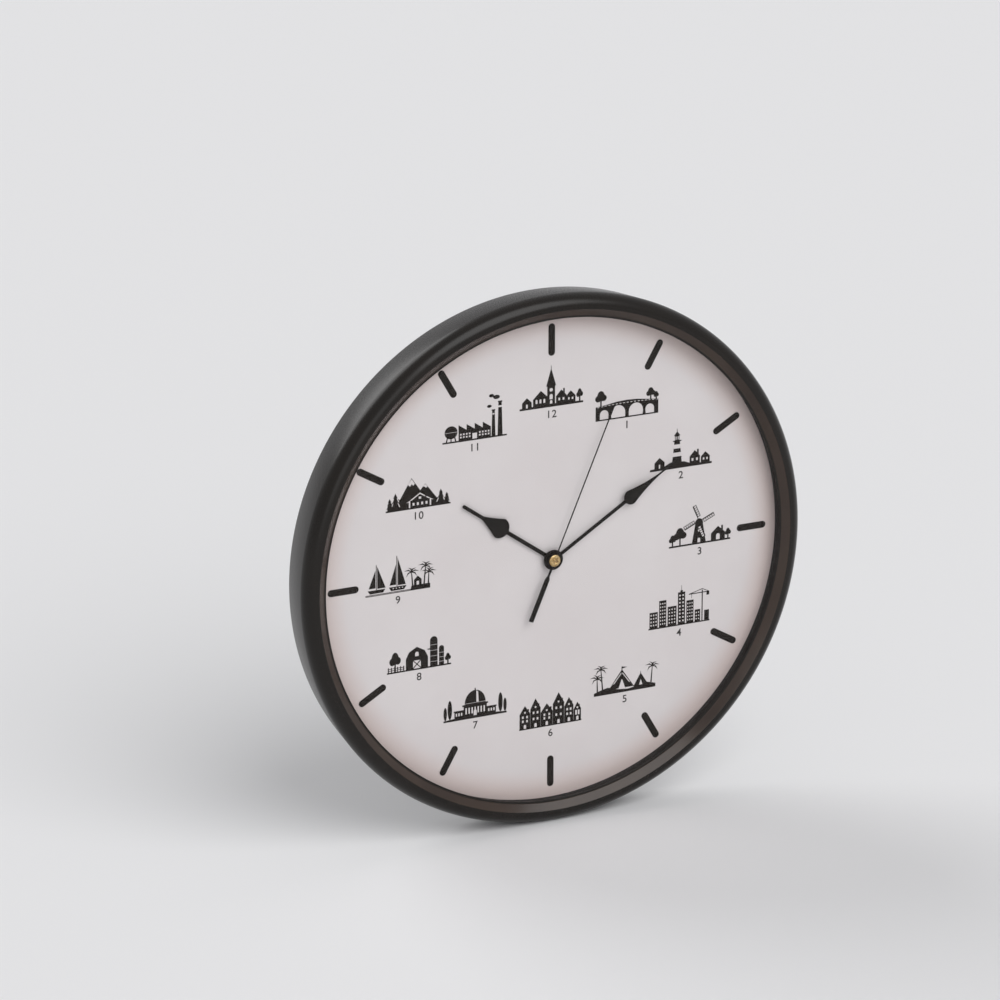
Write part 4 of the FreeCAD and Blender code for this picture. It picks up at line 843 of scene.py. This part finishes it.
def bushProfile(b):
    end = bladeFront - b["shankLength"]
    return rounded([
        (b["bore"], end, 0), (b["shank"], end, b["smallEase"]), (b["shank"], bladeFront, 0),
        (b["radius"], bladeFront, b["seatEase"]), (b["radius"], bushFront - b["rim"], b["rimEase"]),
        (b["crown"], bushFront, b["crownEase"]), (b["well"] + b["lead"], bushFront, b["smallEase"]),
        (b["well"], bushFront - b["lead"], b["smallEase"]), (b["well"], wellFloor, b["smallEase"]),
        (b["bore"], wellFloor, 0)])


def tipProfile(t):
    return rounded([
        (0, wellFloor + t["foot"], 0), (t["radius"], wellFloor + t["foot"], 0),
        (t["radius"], wellFloor + t["rise"], t["ease"]), (0, wellFloor + t["rise"] + t["crown"], 0)], t["easeSteps"])


addPiece("turnedBush", spunMesh(bushProfile(bush), bush["turns"]), "second_train", "turned_brass",
         ("second_hand_bush",))
addPiece("arborTip", spunMesh(tipProfile(tip), tip["turns"]), "second_train", "turned_brass")
print("hands made")


# Back: eased copies of the moulded and stamped parts, so that their edges catch light as moulded edges do

backParts = {       # each one's piece, body, slot, and the width and steps of its eased edges
    "back_shell": ("rearPan", "case", "shell_black", 0.3, 2),
    "case_screws": ("caseScrewSet", "case", "screw_steel", 0.35, 3),
    "hanger_plate": ("keyholePlate", "case", "hanger_steel", 0.2, 2),
    "hanger_screws": ("plateScrewSet", "case", "screw_steel", 0.35, 3),
    "movement_case": ("movementHousing", "case", "movement_black", 0.2, 2),
    "movement_cover": ("movementLid", "case", "movement_black", 0.15, 2),
    "setting_knob": ("knobWheel", "knob", "knob_grey", 0.2, 2),
}
for node, (name, body, slotName, width, steps) in backParts.items():
    addPiece(name, softened(node, width, steps), body, slotName, (node,))

polarity = {"place": 19.0, "up": -6.6, "arm": 1.5, "width": 0.7, "height": 0.2, "ease": 0.06, "sunk": 0.1}


def polarityMesh(p, plus):      # raised plus or minus sign, moulded on the lid beside the cell's pole
    rear = outOfWall("movement_cover", 0)
    outlines = []
    for inset, height in ((0, -p["sunk"]), (0, p["height"] - p["ease"]), (p["ease"], p["height"])):
        a, w = p["arm"] - inset, p["width"] / 2 - inset
        part = [(a, -w), (a, w), (w, w)] if plus else [(a, -w), (a, w)]
        outlines.append([spot + (rear - height,) for degrees in range(0, 360, 90 if plus else 180)
                         for spot in turned(part, degrees, 0, 0)])
    mesh = stackedMesh(outlines)
    mesh.transform(Matrix.Translation(place((p["place"] if plus else -p["place"], p["up"], 0))))
    return mesh


addPiece("plusSign", polarityMesh(polarity, True), "case", "movement_black")
addPiece("minusSign", polarityMesh(polarity, False), "case", "movement_black")
print("back parts eased")


# Light, camera and floor, so that each stage can be looked at

view = {        # degrees, metres, the focal length in pixels of a picture that is so many wide, and the sensor in mm
    "azimuth": -26.116, "elevation": 18.441, "place": (-1.1489, -2.3030, 0.8848), "focal": 4988.0, "pixels": 1000,
    "sensor": 36.0, "farthest": 20.0,
}


def addCamera(v):
    azimuth, elevation = math.radians(v["azimuth"]), math.radians(v["elevation"])
    level = math.cos(elevation)
    back = Vector((math.sin(azimuth) * level, -math.cos(azimuth) * level, math.sin(elevation)))
    right = Vector((0, 0, 1)).cross(back).normalized()
    lens = bpy.data.cameras.new("photoView")
    lens.sensor_width = v["sensor"]
    lens.lens = v["focal"] * v["sensor"] / v["pixels"]
    lens.clip_end = v["farthest"]
    camera = linked("photoView", lens)
    turning = Matrix((right, back.cross(right), back)).transposed().to_4x4()
    camera.matrix_world = Matrix.Translation(v["place"]) @ turning
    bpy.context.scene.camera = camera


addCamera(view)

lamps = {       # large soft lamps, far away: where each stands, its strength and how wide it looks in degrees
    "skySoft": {"from": (0.25, -1.0, 1.05), "strength": 1.52, "spread": 50.0},
    "frontFill": {"from": (-0.35, -1.0, 0.15), "strength": 0.35, "spread": 40.0},
    "rearSoft": {"from": (-0.5, 1.0, 0.8), "strength": 1.1, "spread": 45.0},
}
for name, lamp in lamps.items():
    light = bpy.data.lights.new(name, "SUN")
    light.energy = lamp["strength"]
    light.angle = math.radians(lamp["spread"])
    linked(name, light).rotation_euler = Vector(lamp["from"]).to_track_quat("Z", "Y").to_euler()

room = {"lights": ("e8e8ea", 0.42), "looks": ("c8c8ca", 1.0)}       # colour and strength, as light and as seen


def addWorld(r):
    world = bpy.data.worlds.new("paleRoom")
    world.use_nodes = True
    tree = world.node_tree
    tree.nodes.clear()
    rays = add(tree, "ShaderNodeLightPath").outputs
    mirrored = add(tree, "ShaderNodeMath", {"operation": "MAXIMUM"}, _0=rays["Is Glossy Ray"],
                   _1=rays["Is Transmission Ray"])
    seen = add(tree, "ShaderNodeMath", {"operation": "MAXIMUM"}, _0=rays["Is Camera Ray"], _1=mirrored.outputs[0])
    lights, looks = [add(tree, "ShaderNodeBackground", Color=linear(colour), Strength=strength).outputs[0]
                     for colour, strength in (r["lights"], r["looks"])]
    both = add(tree, "ShaderNodeMixShader", _0=seen.outputs[0], _1=lights, _2=looks)
    add(tree, "ShaderNodeOutputWorld", Surface=both.outputs[0])
    bpy.context.scene.world = world


addWorld(room)

floorPaper = {      # grain and its depth in mm, half the floor's size in metres
    "colour": "ececed", "roughness": 0.9, "shine": 0.05, "grain": 2.0, "depth": 0.02, "halfSize": 12.0, "segments": 8,
}


def addFloor(f):        # matt white paper: even and dull, with a faint fibre
    material, tree, point = newMaterial("Floor matt white paper")
    grain = add(tree, "ShaderNodeTexNoise", Vector=point, Scale=1 / f["grain"], Detail=3.0)
    relief = add(tree, "ShaderNodeBump", Height=grain.outputs["Fac"], Distance=f["depth"] * mm)
    sheet = add(tree, "ShaderNodeBsdfPrincipled", Base_Color=linear(f["colour"]), Roughness=f["roughness"],
                Specular_IOR_Level=f["shine"], Normal=relief.outputs[0])
    add(tree, "ShaderNodeOutputMaterial", Surface=sheet.outputs[0])
    shape = bmesh.new()
    bmesh.ops.create_grid(shape, x_segments=f["segments"], y_segments=f["segments"], size=f["halfSize"])
    bmesh.ops.translate(shape, verts=shape.verts, vec=(0.0, 0.0, -ringRadius * mm))
    mesh = bpy.data.meshes.new("paperFloor")
    shape.to_mesh(mesh)
    shape.free()
    mesh.materials.append(material)
    floor = linked("paperFloor", mesh)


addFloor(floorPaper)
bpy.context.scene.view_settings.view_transform = "Standard"
print("camera, lamps and floor added")
